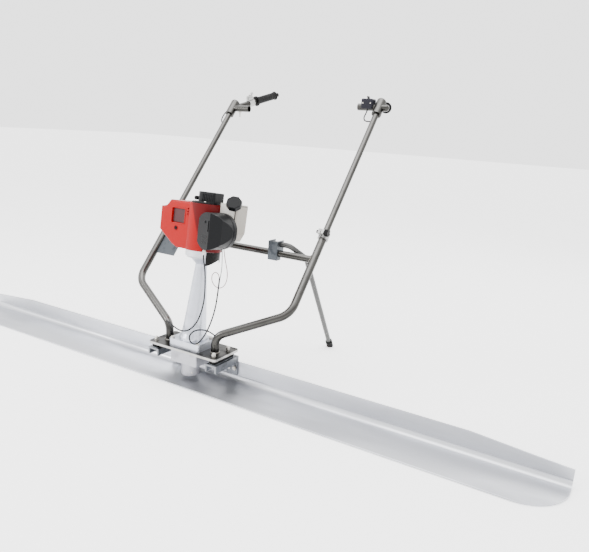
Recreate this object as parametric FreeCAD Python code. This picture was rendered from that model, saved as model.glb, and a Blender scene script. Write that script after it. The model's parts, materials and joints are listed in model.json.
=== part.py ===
import FreeCAD, Part

# A walk-behind power screed for wet concrete. A long aluminium blade hangs under a base plate on
# rubber isolators. A small engine on a mast spins an eccentric weight just above the blade, and
# two telescopic arms with handles lean back to the operator. A hinged stand holds it up.
# Units are millimetres. +X runs along the blade, +Y points to the operator, +Z is up.
# The origin is on the ground, on the flat sole of the blade, at the middle of its length.

import math
import os

V = FreeCAD.Vector
X_AXIS = V(1, 0, 0)
Y_AXIS = V(0, 1, 0)
Z_AXIS = V(0, 0, 1)

# ---- clearances
RUNNING_GAP = 0.05          # radial, where something turns or slides
FREE_GAP = 0.4              # between pieces that pass each other

# ---- blade
BLADE_LENGTH = 2500.0
BLADE_FRONT = -87.0         # front edge, Y
BLADE_BACK = 80.0           # back face of the upright fin, Y
FIN_HEIGHT = 76.0
FIN_THICKNESS = 5.0
SOLE_THICKNESS = 5.0
COVE_RADIUS = 18.0          # inside corner between sole and fin
COVE_STEP = 3.0             # ledge where the cove meets the fin
END_RADIUS = 137.0          # front corners, seen from above
TAPER_LENGTH = 283.0        # stretch of fin at each end that slopes down
TAPER_DROP = 21.0

# ---- blade brackets, isolators and base plate
PLATE_TOP = 123.0
PLATE_THICKNESS = 8.0
PLATE_HALF_WIDTH = 149.0
PLATE_FRONT = -60.0
PLATE_BACK = 79.0
PLATE_CORNER = 12.0
ISOLATOR_HEIGHT = 16.0
ISOLATOR_WIDTH = 26.0
BRACKET_FRONT = -56.0
ISOLATOR_SETBACK = 5.0      # rubber behind the bracket's front
ISOLATOR_BACK = 62.0
BRACKET_X = 128.0           # middle of bracket, isolator and plate bolts
BRACKET_WIDTH = 46.0
BRACKET_WALL = 6.0
BRACKET_DEPTH = 26.0        # height of the channel
BRACKET_FOOT = 28.0         # lowest point of the leg on the fin
BOLT_Y = 40.0
BOLT_RADIUS = 4.0
BOLT_GAP = 0.2
HEAD_ACROSS = 13.0
HEAD_HEIGHT = 5.5
PLATE_HEAD_HEIGHT = 11.0    # tall heads of the plate bolts
INSERT_DEPTH = 7.0          # thread in the rubber
THREAD_DEPTH = 13.0         # thread in the exciter housing

# ---- mast and drive line, along one axis that leans back
LEAN = 6.7                  # degrees
MAST_Y = 6.0                # where the axis meets the plate's top
MAST_HEIGHT = 322.0         # along the axis, plate to clutch housing
MAST_BLOCK_X = 132.0
MAST_BLOCK_FRONT = -47.0
MAST_BLOCK_BACK = 60.0
MAST_BLOCK_HEIGHT = 27.0
MAST_WALL = 6.0
MAST_FOOT_RADIUS = 50.0
MAST_LOW_RADIUS = 41.0
MAST_TOP_RADIUS = 20.5
MAST_FLANGE_RADIUS = 40.0
MAST_BOLT_X = 55.0
MAST_BOLT_Y = 37.0
SHAFT_RADIUS = 8.0
BEARING_RADIUS = 16.0
BEARING_WIDTH = 11.0

# ---- exciter under the base plate
EXCITER_HALF_X = 58.0
EXCITER_FRONT = -47.0
EXCITER_BACK = 48.0
EXCITER_BOTTOM = 68.0
EXCITER_WALL = 8.0
BOSS_RADIUS = 32.0
BOSS_BOTTOM = 26.0
BOSS_Y = -4.0
COVER_THICKNESS = 6.0
WEIGHT_RADIUS = 34.0
WEIGHT_LOW = -44.0          # along the axis, from the plate's top
WEIGHT_HIGH = -20.0

# ---- engine, measured along its axis from the top of the mast
ENGINE_BASE = 28.0          # height of the clutch housing
CLUTCH_RADIUS = 58.0
CLUTCH_SKIRT = 9.0          # bell's lip round the mast's flange
DRUM_RADIUS = 38.0
DRUM_WALL = 3.5
CASE_RADIUS = 50.0
CASE_TOP = 104.0
CRANK_MIDDLE = 67.0
WEB_RADIUS = 30.0
WEB_THICKNESS = 8.0
JOURNAL_RADIUS = 7.5
STROKE = 30.0
BORE_RADIUS = 19.5
ROD_LENGTH = 55.0
ROD_THICKNESS = 13.0
FLYWHEEL_RADIUS = 56.0
SHROUD_TOP = 178.0
SHROUD_RADIUS = 66.0
SHROUD_WALL = 3.0
COVER_END = -152.0          # far end of the cylinder cover, X
COVER_SPLIT = -7.0          # where it meets the fan cover, X
COVER_HALF_Y = 60.0
COVER_BOTTOM = 18.0         # lower edge of both covers, below the engine's base
COVER_ROUNDING = 6.0
EXHAUST_X = -76.0
EXHAUST_RADIUS = 9.0
FILLER_START = (110, 6, 174)
CAP_HEIGHT = 19.5           # cap above the filler's foot
TANK_DEPTH = 79.0
CLEANER_RADIUS = 61.0
CLEANER_X = 88.0            # middle of its round front
CLEANER_Z = 95.0
CLEANER_WALL = 5.0
RECOIL_RADIUS = 54.0
RECOIL_RIM = 6.0
RECOIL_BOSS_RADIUS = 32.0
RECOIL_BOSS_END = 50.0      # the boss is longer on the tank's side, X
RECOIL_WALL = 3.0
RECOIL_TOP = 218.0
PULL_Z = 194.0

# ---- arms
ARM_FOOT_X = 102.0
ARM_KNEE = (58.0, 0.0)      # height above the plate and Y of the lower bend
ARM_WIDE_X = 340.0
ARM_ELBOW = (89.2, 288.8)   # Y and Z of the upper bend
ARM_LEAN = 40.1             # degrees from upright, above the elbow
ARM_RADIUS = 14.0
ARM_WALL = 2.5
KNEE_BEND = 46.0
ELBOW_BEND = 70.0
ARM_LENGTH = 322.0          # straight part of the lower arm, from the elbow
UPPER_RADIUS = ARM_RADIUS - ARM_WALL - RUNNING_GAP
UPPER_WALL = 1.5
INSERTION = 115.0           # length of upper tube inside the lower arm
ARM_REACH = {"left": 915.0, "right": 954.0}   # elbow to arm top, as set
CROSSBAR_DISTANCE = 215.0   # from the elbow along the arm
CROSSBAR_RADIUS = 12.5
CORNER_PLATE_WIDTH = 88.0
COLLAR_RADIUS = 19.0
COLLAR_HEIGHT = 27.0
KNOB_RADIUS = 13.0
CLAMP_OFFSET = 26.5         # clamp bolt from the arm's axis

# ---- stand
STAND_RADIUS = 9.5
STAND_Y = 241.0
STAND_Z = 484.0
STAND_BRACKET_X = (162.0, 200.0)
STAND_SHOULDER_X = 286.0
STAND_SHOULDER_DROP = 52.0
STAND_FOOT = (247.0, 619.0)
FOOT_RADIUS = 14.0
FOOT_HEIGHT = 36.0
STAND_BEND = 34.0

# ---- handles
SOCKET_RADIUS = 19.0
SOCKET_LENGTH = 74.0
BAR_BELOW_TOP = 38.0
STUB_RADIUS = 13.5
STUB_LENGTH = 88.0
BAR_RADIUS = 11.0
GRIP_LENGTH = 118.0
GRIP_RADIUS = 16.0
FLANGE_RADIUS = 22.0
GRIP_END = 4.0              # closed end of the grip beyond its bar
GRIP_START = {"left": 136.0, "right": 62.0}
LUG_OFFSET = {"left": 0.0, "right": 28.0}
BAR_DIRECTION = {"left": (0.275, 0.916, 0.293), "right": (-0.36, 0.92, 0.06)}
SWITCH_ALONG = 46.0         # middle of the switch box, from the arm's axis
LEVER_PIN = 3.0             # pin of the throttle lever
PIN_RADIUS = 1.5            # pin of the switch's rocker
LEVER_ALONG = 104.0         # middle of the throttle clamp along its bar

# ---- cables: points of each route, and diameters
CABLE = 5.0
WIRE = 2.6
THROTTLE_CABLE = [(82, -47, 489.5), (68, -38, 462), (61, -20, 428), (62, -15, 392), (65, -18, 343),
                  (67, -24, 300), (59, -33, 251), (42, -41, 214), (14, -46, 191), (-18, -43, 185),
                  (-46, -35, 187), (-72, -25, 190), (-94, -14, 191.5), (-112.2, -5.6, 189.6)]
SWITCH_CABLE = [(99, -1, 183.2), (86, -6, 193), (68, -22, 203), (45, -44, 201), (30, -55, 180),
                (44, -60, 158), (70, -58, 160), (87, -52, 183), (101, -46, 211), (113, -39, 248),
                (119, -27, 295), (115, -12, 345), (111, 0, 390)]
GREEN_WIRE = [(112.6, 0.4, 389.2), (114, 5, 412), (109, 13, 436), (103, 20, 458), (99, 24, 481.5)]
RED_WIRE = [(109.5, 0, 389.2), (107, -2, 403), (97, -8, 409), (88, -12, 398), (86, -11, 378),
            (94, -6, 360), (110, 0, 352), (126, 5, 361), (134, 9, 381), (133, 13, 405),
            (124, 17, 430), (114, 20, 455), (106, 23, 489)]
THROTTLE_LEAD = [(-351, 598, 893), (-363, 604, 902), (-370, 622, 920), (-371, 647, 943), (-364, 675, 962),
                 (-349, 705, 975), (-328.4, 742.6, 986.6)]
SWITCH_LEAD = [(329, 634, 935), (315, 632, 934), (301, 636, 938), (294, 646, 950), (296, 658, 965),
               (301, 662.6, 984.5)]

ARM_DIRECTION = V(0, math.sin(math.radians(ARM_LEAN)), math.cos(math.radians(ARM_LEAN)))
PLATE_BOTTOM = PLATE_TOP - PLATE_THICKNESS
BRACKET_TOP = PLATE_BOTTOM - ISOLATOR_HEIGHT


# ---- general shapes
def block(x0, x1, y0, y1, z0, z1):
    return Part.makeBox(x1 - x0, y1 - y0, z1 - z0, V(x0, y0, z0))


def rod(radius, start, direction, length):
    return Part.makeCylinder(radius, length, start, direction)


def ring(outer, inner, start, direction, length):
    return rod(outer, start, direction, length).cut(rod(inner, start, direction, length))


def prism(points, direction):
    corners = [V(*p) for p in points]
    face = Part.Face(Part.makePolygon(corners + corners[:1]))
    return face.extrude(direction)


def turned(points):
    """A solid turned about Z from (radius, height) points that start and end on the axis."""
    corners = [V(r, 0, z) for r, z in points]
    face = Part.Face(Part.makePolygon(corners + corners[:1]))
    return face.revolve(V(0, 0, 0), Z_AXIS, 360)


def hexagon(across, start, direction, height):
    radius = across / math.sqrt(3)
    corners = [(radius * math.cos(math.radians(a)), radius * math.sin(math.radians(a)), 0)
               for a in range(0, 360, 60)]
    return aimed(prism(corners, V(0, 0, height)), start, direction)


def aimed(shape, start, direction):
    """The shape, made along Z at the origin, moved to start and turned towards direction."""
    moved = shape.copy()
    moved.Placement = FreeCAD.Placement(start, FreeCAD.Rotation(Z_AXIS, direction))
    return moved


def on_axis(shape, height=0.0):
    """The shape, made about Z, put on the leaning mast axis that far above the plate."""
    turn = FreeCAD.Rotation(X_AXIS, -LEAN)
    moved = shape.copy()
    moved.Placement = FreeCAD.Placement(axis_point(height), turn).multiply(shape.Placement)
    return moved


def axis_point(height):
    lean = math.radians(LEAN)
    return V(0, MAST_Y + height * math.sin(lean), PLATE_TOP + height * math.cos(lean))


def on_engine(shape):
    return on_axis(shape, MAST_HEIGHT)


def rounded_edges(shape, radius, direction):
    """Rounds the straight edges that run along a direction."""
    edges = []
    for edge in shape.Edges:
        if edge.Curve.TypeId == "Part::GeomLine" and abs(edge.Curve.Direction.dot(direction)) > 0.999:
            edges.append(edge)
    return shape.makeFillet(radius, edges)


def bent_path(points, radii):
    """Straight runs joined by tangent arcs, one radius for each inner point."""
    edges = []
    start = points[0]
    for i, radius in enumerate(radii, 1):
        before = (points[i - 1] - points[i]).normalize()
        after = (points[i + 1] - points[i]).normalize()
        half = (math.pi - before.getAngle(after)) / 2
        reach = radius * math.tan(half)
        enter = points[i] + before * reach
        leave = points[i] + after * reach
        inward = (before + after).normalize()
        middle = points[i] + inward * (radius / math.cos(half) - radius)
        edges.append(Part.LineSegment(start, enter).toShape())
        edges.append(Part.Arc(enter, middle, leave).toShape())
        start = leave
    edges.append(Part.LineSegment(start, points[-1]).toShape())
    return Part.Wire(edges)


def swept(path, radius):
    first = path.Edges[0]
    start = first.valueAt(first.FirstParameter)
    direction = first.tangentAt(first.FirstParameter)
    section = Part.Wire([Part.makeCircle(radius, start, direction)])
    return path.makePipeShell([section], True, False)


def bent_tube(points, radii, outer, inner):
    path = bent_path(points, radii)
    return swept(path, outer).cut(swept(path, inner))


def cable_tube(name, route, diameter):
    """A cable along its route. Each arc takes 0.45 of its shorter run."""
    points = [V(*p) for p in route]
    radii = []
    for i in range(1, len(points) - 1):
        shorter = min((points[i] - points[i - 1]).Length, (points[i + 1] - points[i]).Length)
        before = points[i - 1] - points[i]
        after = points[i + 1] - points[i]
        half = (math.pi - before.getAngle(after)) / 2
        radii.append(0.45 * shorter / math.tan(half))
    path = bent_path(points, radii)
    tube = swept(path, diameter / 2)
    expected = math.pi * (diameter / 2) ** 2 * path.Length
    print("%s length %.0f, arc radii %s, volume ratio %.3f"
          % (name, path.Length, ["%.0f" % r for r in radii], tube.Volume / expected))
    return tube


def side_sign(side):
    return -1 if side == "left" else 1


# ---- blade
def screed_blade():
    fin_front = BLADE_BACK - FIN_THICKNESS
    cove_front = fin_front - COVE_STEP
    cove_top = SOLE_THICKNESS + 1 + COVE_RADIUS
    cove_foot = cove_front - COVE_RADIUS
    slope = math.sqrt(0.5) * COVE_RADIUS
    half = BLADE_LENGTH / 2
    nose = SOLE_THICKNESS / 2

    def corner(y, z):
        return V(-half, y, z)

    sole = [corner(cove_foot, cove_top - COVE_RADIUS), corner(BLADE_FRONT + nose, SOLE_THICKNESS),
            corner(BLADE_FRONT + nose, 0), corner(BLADE_BACK, 0), corner(BLADE_BACK, FIN_HEIGHT),
            corner(fin_front, FIN_HEIGHT), corner(fin_front, cove_top), corner(cove_front, cove_top)]
    edges = [Part.LineSegment(sole[0], sole[1]).toShape(),
             Part.Arc(sole[1], corner(BLADE_FRONT, nose), sole[2]).toShape()]
    for start, end in zip(sole[2:-1], sole[3:]):
        edges.append(Part.LineSegment(start, end).toShape())
    middle = corner(cove_foot + slope, cove_top - slope)
    edges.append(Part.Arc(sole[-1], middle, sole[0]).toShape())
    blade = Part.Face(Part.Wire(edges)).extrude(V(BLADE_LENGTH, 0, 0))
    blade = blade.common(blade_outline())
    for sign in (-1, 1):
        knee = sign * (half - TAPER_LENGTH)
        wedge = prism([(knee, BLADE_BACK + 1, FIN_HEIGHT),
                       (sign * (half + 1), BLADE_BACK + 1, FIN_HEIGHT - TAPER_DROP),
                       (sign * (half + 1), BLADE_BACK + 1, FIN_HEIGHT + 1),
                       (knee, BLADE_BACK + 1, FIN_HEIGHT + 1)],
                      V(0, -FIN_THICKNESS - 2, 0))
        blade = blade.cut(wedge)
    return blade.cut(Part.makeCompound(fin_holes(BOLT_RADIUS + BOLT_GAP)))


def blade_outline():
    """The blade's outline seen from above, with its two rounded front corners."""
    half = BLADE_LENGTH / 2
    arc_x = half - END_RADIUS
    arc_y = BLADE_FRONT + END_RADIUS
    slant = END_RADIUS * math.sqrt(0.5)
    back = BLADE_BACK + 1
    edges = [Part.LineSegment(V(arc_x, BLADE_FRONT, -1), V(-arc_x, BLADE_FRONT, -1)).toShape(),
             Part.Arc(V(-arc_x, BLADE_FRONT, -1), V(-arc_x - slant, arc_y - slant, -1),
                      V(-half, arc_y, -1)).toShape(),
             Part.LineSegment(V(-half, arc_y, -1), V(-half, back, -1)).toShape(),
             Part.LineSegment(V(-half, back, -1), V(half, back, -1)).toShape(),
             Part.LineSegment(V(half, back, -1), V(half, arc_y, -1)).toShape(),
             Part.Arc(V(half, arc_y, -1), V(arc_x + slant, arc_y - slant, -1),
                      V(arc_x, BLADE_FRONT, -1)).toShape()]
    return Part.Face(Part.Wire(edges)).extrude(V(0, 0, FIN_HEIGHT + 2))


def fin_bolt_places():
    height = (BRACKET_FOOT + FIN_HEIGHT) / 2
    return [(sign * (BRACKET_X + step), height) for sign in (-1, 1) for step in (-12, 12)]


def fin_holes(radius):
    front = BLADE_BACK - FIN_THICKNESS - BRACKET_WALL - 1
    length = FIN_THICKNESS + BRACKET_WALL + 2
    return [rod(radius, V(x, front, z), Y_AXIS, length) for x, z in fin_bolt_places()]


def blade_brackets():
    """An inverted channel under each isolator, with a leg bolted to the blade's fin."""
    back = BLADE_BACK - FIN_THICKNESS
    brackets = []
    for sign in (-1, 1):
        low_x = sign * BRACKET_X - BRACKET_WIDTH / 2
        high_x = low_x + BRACKET_WIDTH
        channel = block(low_x, high_x, BRACKET_FRONT, back, BRACKET_TOP - BRACKET_DEPTH, BRACKET_TOP)
        hollow = block(low_x + BRACKET_WALL, high_x - BRACKET_WALL, BRACKET_FRONT - 1,
                       back - BRACKET_WALL, BRACKET_TOP - BRACKET_DEPTH - 1, BRACKET_TOP - BRACKET_WALL)
        leg = block(low_x, high_x, back - BRACKET_WALL, back, BRACKET_FOOT, BRACKET_TOP)
        body = channel.cut(hollow).fuse(leg)
        body = body.cut(Part.makeCompound(fin_holes(BOLT_RADIUS + BOLT_GAP)))
        for y in (-BOLT_Y, BOLT_Y):
            body = body.cut(rod(BOLT_RADIUS + BOLT_GAP, V(sign * BRACKET_X, y, BRACKET_TOP - BRACKET_WALL - 1),
                                Z_AXIS, BRACKET_WALL + 2))
        brackets.append(body.removeSplitter())
    return Part.makeCompound(brackets)


def rubber_isolators():
    """Two rubber bars with threaded inserts moulded into both faces."""
    bars = []
    for sign in (-1, 1):
        low_x = sign * BRACKET_X - ISOLATOR_WIDTH / 2
        bar = block(low_x, low_x + ISOLATOR_WIDTH, BRACKET_FRONT + ISOLATOR_SETBACK, ISOLATOR_BACK,
                    BRACKET_TOP, PLATE_BOTTOM)
        bar = rounded_edges(bar, 4, Z_AXIS)
        for y in (-BOLT_Y, BOLT_Y):
            bar = bar.cut(rod(BOLT_RADIUS, V(sign * BRACKET_X, y, BRACKET_TOP), Z_AXIS, INSERT_DEPTH))
            bar = bar.cut(rod(BOLT_RADIUS, V(sign * BRACKET_X, y, PLATE_BOTTOM), -Z_AXIS, INSERT_DEPTH))
        bars.append(bar)
    return Part.makeCompound(bars)


def bolt(start, direction, grip, head_height=HEAD_HEIGHT):
    """A hexagon bolt whose head sits on start and whose thread runs along direction."""
    shank = rod(BOLT_RADIUS, start, direction, grip)
    head = hexagon(HEAD_ACROSS, start - direction * head_height, direction, head_height)
    return head.fuse(shank).removeSplitter()


def bracket_bolts():
    """Bolts up into the isolators, and bolts with nuts through the blade's fin."""
    pieces = []
    for sign in (-1, 1):
        for y in (-BOLT_Y, BOLT_Y):
            start = V(sign * BRACKET_X, y, BRACKET_TOP - BRACKET_WALL)
            pieces.append(bolt(start, Z_AXIS, BRACKET_WALL + INSERT_DEPTH - 1))
    back = BLADE_BACK
    front = BLADE_BACK - FIN_THICKNESS - BRACKET_WALL
    for x, z in fin_bolt_places():
        pieces.append(bolt(V(x, front, z), Y_AXIS, back - front + HEAD_HEIGHT + 2))
        nut = hexagon(HEAD_ACROSS, V(x, back, z), Y_AXIS, HEAD_HEIGHT)
        pieces.append(nut.cut(rod(BOLT_RADIUS, V(x, back, z), Y_AXIS, HEAD_HEIGHT)))
    return Part.makeCompound(pieces)


def plate_bolts():
    pieces = []
    for sign in (-1, 1):
        for y in (-BOLT_Y, BOLT_Y):
            pieces.append(bolt(V(sign * BRACKET_X, y, PLATE_TOP), -Z_AXIS, PLATE_THICKNESS + INSERT_DEPTH - 1,
                               PLATE_HEAD_HEIGHT))
    return Part.makeCompound(pieces)


def mast_bolt_places():
    return [V(x, y, PLATE_TOP + MAST_BLOCK_HEIGHT) for x in (-MAST_BOLT_X, MAST_BOLT_X)
            for y in (-MAST_BOLT_Y, MAST_BOLT_Y)]


def mast_bolts():
    """Long bolts through mast foot and plate into the exciter housing."""
    grip = MAST_BLOCK_HEIGHT + PLATE_THICKNESS + THREAD_DEPTH
    return Part.makeCompound([bolt(place, -Z_AXIS, grip) for place in mast_bolt_places()])


def mast_bolt_holes(gap):
    length = MAST_BLOCK_HEIGHT + PLATE_THICKNESS + THREAD_DEPTH + 1
    return Part.makeCompound([rod(BOLT_RADIUS + gap, place, -Z_AXIS, length) for place in mast_bolt_places()])


def base_plate():
    plate = block(-PLATE_HALF_WIDTH, PLATE_HALF_WIDTH, PLATE_FRONT, PLATE_BACK, PLATE_BOTTOM, PLATE_TOP)
    plate = rounded_edges(plate, PLATE_CORNER, Z_AXIS)
    for sign in (-1, 1):
        for y in (-BOLT_Y, BOLT_Y):
            plate = plate.cut(rod(BOLT_RADIUS + BOLT_GAP, V(sign * BRACKET_X, y, PLATE_BOTTOM), Z_AXIS,
                                  PLATE_THICKNESS))
    plate = plate.cut(on_axis(rod(BEARING_RADIUS + 4, V(0, 0, -30), Z_AXIS, 60)))
    return plate.cut(mast_bolt_holes(BOLT_GAP))


# ---- exciter
def exciter_housing():
    box = block(-EXCITER_HALF_X, EXCITER_HALF_X, EXCITER_FRONT, EXCITER_BACK, EXCITER_BOTTOM, PLATE_BOTTOM)
    box = rounded_edges(box, 8, Z_AXIS)
    boss = rod(BOSS_RADIUS, V(0, BOSS_Y, BOSS_BOTTOM), Z_AXIS, PLATE_BOTTOM - BOSS_BOTTOM - 2)
    chamber = on_axis(rod(WEIGHT_RADIUS + 5, V(0, 0, WEIGHT_LOW - 3), Z_AXIS, 35 - WEIGHT_LOW))
    bearing_seat = on_axis(rod(BEARING_RADIUS, V(0, 0, -140), Z_AXIS, 120))
    body = box.fuse(boss).cut(chamber).cut(bearing_seat)
    return body.cut(mast_bolt_holes(0)).removeSplitter()


def exciter_cover():
    cover = rod(BOSS_RADIUS, V(0, BOSS_Y, BOSS_BOTTOM - COVER_THICKNESS), Z_AXIS, COVER_THICKNESS)
    return cover.makeFillet(3, [edge for edge in cover.Edges if edge.CenterOfMass.z < BOSS_BOTTOM - 4])


def bearing_places():
    """Heights of the three bearings along the axis: foot, above the plate and mast top."""
    return [WEIGHT_LOW - 24, 14, MAST_HEIGHT - BEARING_WIDTH - 4]


def shaft_bearings():
    rings = []
    for height in bearing_places():
        outer = ring(BEARING_RADIUS, BEARING_RADIUS - 3, V(0, 0, height), Z_AXIS, BEARING_WIDTH)
        inner = ring(SHAFT_RADIUS + 3, SHAFT_RADIUS + RUNNING_GAP, V(0, 0, height), Z_AXIS, BEARING_WIDTH)
        shield = ring(BEARING_RADIUS - 3, SHAFT_RADIUS + 3, V(0, 0, height + 1), Z_AXIS, BEARING_WIDTH - 2)
        rings.append(on_axis(outer.fuse(inner).fuse(shield).removeSplitter()))
    return Part.makeCompound(rings)


def drive_shaft():
    low = bearing_places()[0]
    return on_axis(rod(SHAFT_RADIUS, V(0, 0, low), Z_AXIS, MAST_HEIGHT + 12 - low))


def eccentric_weight():
    """A half disc with a hub, clamped on the shaft."""
    thickness = WEIGHT_HIGH - WEIGHT_LOW
    disc = rod(WEIGHT_RADIUS, V(0, 0, WEIGHT_LOW), Z_AXIS, thickness)
    disc = disc.cut(block(-WEIGHT_RADIUS, WEIGHT_RADIUS, -WEIGHT_RADIUS, 0, WEIGHT_LOW, WEIGHT_HIGH))
    hub = rod(SHAFT_RADIUS + 6, V(0, 0, WEIGHT_LOW), Z_AXIS, thickness)
    weight = disc.fuse(hub).cut(rod(SHAFT_RADIUS, V(0, 0, WEIGHT_LOW), Z_AXIS, thickness))
    return on_axis(weight.removeSplitter())


# ---- mast
def mast():
    foot = block(-MAST_BLOCK_X / 2, MAST_BLOCK_X / 2, MAST_BLOCK_FRONT, MAST_BLOCK_BACK,
                 PLATE_TOP, PLATE_TOP + MAST_BLOCK_HEIGHT)
    foot = rounded_edges(foot, 10, Z_AXIS)
    top = MAST_HEIGHT
    low = MAST_BLOCK_HEIGHT - 8
    outside = turned([(0, low), (MAST_FOOT_RADIUS, low), (MAST_FOOT_RADIUS, low + 12),
                      (MAST_LOW_RADIUS + 3, low + 26), (MAST_LOW_RADIUS, low + 44),
                      (MAST_TOP_RADIUS, top - 40), (MAST_TOP_RADIUS, top - 30),
                      (MAST_FLANGE_RADIUS, top - 10), (MAST_FLANGE_RADIUS, top), (0, top)])
    seat_top = bearing_places()[1] + BEARING_WIDTH
    inside = turned([(0, seat_top), (BEARING_RADIUS - 3, seat_top), (MAST_LOW_RADIUS - MAST_WALL, seat_top + 15),
                     (MAST_LOW_RADIUS - MAST_WALL, low + 40),
                     (SHAFT_RADIUS + 5, top - 42), (SHAFT_RADIUS + 5, top + 1), (0, top + 1)])
    seats = rod(BEARING_RADIUS, V(0, 0, -30), Z_AXIS, bearing_places()[1] + BEARING_WIDTH + 30)
    seats = seats.fuse(rod(BEARING_RADIUS, V(0, 0, bearing_places()[2]), Z_AXIS, 40))
    body = foot.fuse(on_axis(outside)).cut(on_axis(inside)).cut(on_axis(seats))
    return body.cut(mast_bolt_holes(BOLT_GAP)).removeSplitter()


# ---- clutch
def clutch_housing():
    lip = MAST_FLANGE_RADIUS + FREE_GAP
    bell = turned([(0, 0), (lip, 0), (lip, -CLUTCH_SKIRT), (CLUTCH_RADIUS - 6, -CLUTCH_SKIRT),
                   (CLUTCH_RADIUS, 6 - CLUTCH_SKIRT), (CLUTCH_RADIUS, ENGINE_BASE), (0, ENGINE_BASE)])
    hollow = rod(DRUM_RADIUS + 4, V(0, 0, 3), Z_AXIS, ENGINE_BASE)
    return on_engine(bell.cut(hollow).cut(rod(SHAFT_RADIUS + 2, V(0, 0, -1), Z_AXIS, 10)))


def clutch_drum():
    cup = rod(DRUM_RADIUS, V(0, 0, 5), Z_AXIS, ENGINE_BASE - 8)
    cup = cup.cut(rod(DRUM_RADIUS - DRUM_WALL, V(0, 0, 5 + DRUM_WALL), Z_AXIS, ENGINE_BASE))
    hub = rod(SHAFT_RADIUS + 5, V(0, 0, 5), Z_AXIS, 9)
    return on_engine(cup.fuse(hub).cut(rod(SHAFT_RADIUS, V(0, 0, 0), Z_AXIS, 12)).removeSplitter())


def clutch_shoes():
    """Two shoes on a carrier, held in by springs until the engine runs fast enough."""
    outer = DRUM_RADIUS - DRUM_WALL - 1.2
    shoes = ring(outer, 19.5, V(0, 0, 15.5), Z_AXIS, 9)
    shoes = shoes.cut(block(-outer, outer, -4, 4, 15, 25))
    return on_engine(shoes)


# ---- engine inside
def crankcase():
    case = rod(CASE_RADIUS, V(0, 0, ENGINE_BASE), Z_AXIS, CASE_TOP - ENGINE_BASE)
    neck = rod(BORE_RADIUS + 7, V(-CASE_RADIUS + 12, 0, CRANK_MIDDLE), -X_AXIS, 22)
    low = CRANK_MIDDLE - ROD_THICKNESS / 2 - WEB_THICKNESS - 5
    high = CRANK_MIDDLE + ROD_THICKNESS / 2 + WEB_THICKNESS + 5
    chamber = rod(WEB_RADIUS + 5, V(0, 0, low), Z_AXIS, high - low)
    sleeve = rod(BORE_RADIUS + 0.3, V(0, 0, CRANK_MIDDLE), -X_AXIS, CASE_RADIUS + 20)
    journal = rod(JOURNAL_RADIUS + RUNNING_GAP, V(0, 0, 0), Z_AXIS, 200)
    return on_engine(case.fuse(neck).cut(chamber).cut(sleeve).cut(journal).removeSplitter())


def crankshaft_halves():
    """The built-up crankshaft: two halves, each a journal and a web. The pin is with the rod."""
    low_web = CRANK_MIDDLE - ROD_THICKNESS / 2 - FREE_GAP - WEB_THICKNESS
    high_web = CRANK_MIDDLE + ROD_THICKNESS / 2 + FREE_GAP
    lower = rod(JOURNAL_RADIUS, V(0, 0, 15.5), Z_AXIS, low_web - 15.5)
    lower = lower.fuse(rod(19.5, V(0, 0, 15.5), Z_AXIS, 9))
    lower = lower.fuse(rod(WEB_RADIUS, V(0, 0, low_web), Z_AXIS, WEB_THICKNESS))
    upper = rod(JOURNAL_RADIUS, V(0, 0, high_web), Z_AXIS, SHROUD_TOP - 20 - high_web)
    upper = upper.fuse(rod(WEB_RADIUS, V(0, 0, high_web), Z_AXIS, WEB_THICKNESS))
    return on_engine(Part.makeCompound([lower.removeSplitter(), upper.removeSplitter()]))


def wrist_x():
    return -math.sqrt(ROD_LENGTH ** 2 - (STROKE / 2) ** 2)


def connecting_rod():
    """The rod at half stroke, with the crankpin and the wrist pin that it turns on."""
    low = CRANK_MIDDLE - ROD_THICKNESS / 2
    big = V(0, STROKE / 2, low)
    small = V(wrist_x(), 0, low)
    along = small - big
    beam = Part.makeBox(along.Length, 9, ROD_THICKNESS - 6, V(0, -4.5, 3))
    beam.Placement = FreeCAD.Placement(big, FreeCAD.Rotation(X_AXIS, along))
    body = rod(11, big, Z_AXIS, ROD_THICKNESS).fuse(rod(8, small, Z_AXIS, ROD_THICKNESS)).fuse(beam)
    wrist = rod(4, V(wrist_x(), 0, CRANK_MIDDLE - 14), Z_AXIS, 28)
    return on_engine(body.fuse(wrist).removeSplitter())


def piston():
    skirt = rod(BORE_RADIUS - RUNNING_GAP, V(wrist_x() + 9, 0, CRANK_MIDDLE), -X_AXIS, 28)
    room = block(wrist_x() - 9, wrist_x() + 10, -9, 9, CRANK_MIDDLE - 7, CRANK_MIDDLE + 7)
    pin = rod(4, V(wrist_x(), 0, CRANK_MIDDLE - 14), Z_AXIS, 28)
    return on_engine(skirt.cut(room).cut(pin))


def head_x():
    """Where the cylinder head ends, inside the cover."""
    return COVER_END + 44


def cylinder():
    """The barrel with its head and cooling fins, and an exhaust port at the back."""
    start = -CASE_RADIUS - 10
    barrel = rod(BORE_RADIUS + 4, V(start, 0, CRANK_MIDDLE), -X_AXIS, start - head_x())
    fins = 7
    pitch = (start - head_x()) / fins
    for i in range(fins):
        x = start - (i + 0.5) * pitch
        barrel = barrel.fuse(block(x - 2, x, -40, 40, CRANK_MIDDLE - 24, CRANK_MIDDLE + 38))
    bore = rod(BORE_RADIUS, V(start, 0, CRANK_MIDDLE), -X_AXIS, start - head_x() - 10)
    plug = rod(7, V(head_x() + 8, 0, CRANK_MIDDLE + BORE_RADIUS - 4), Z_AXIS, 40)
    port = rod(EXHAUST_RADIUS, V(EXHAUST_X, BORE_RADIUS + 3, CRANK_MIDDLE), Y_AXIS, 40)
    return on_engine(barrel.cut(bore).cut(plug).cut(port).removeSplitter())


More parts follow.
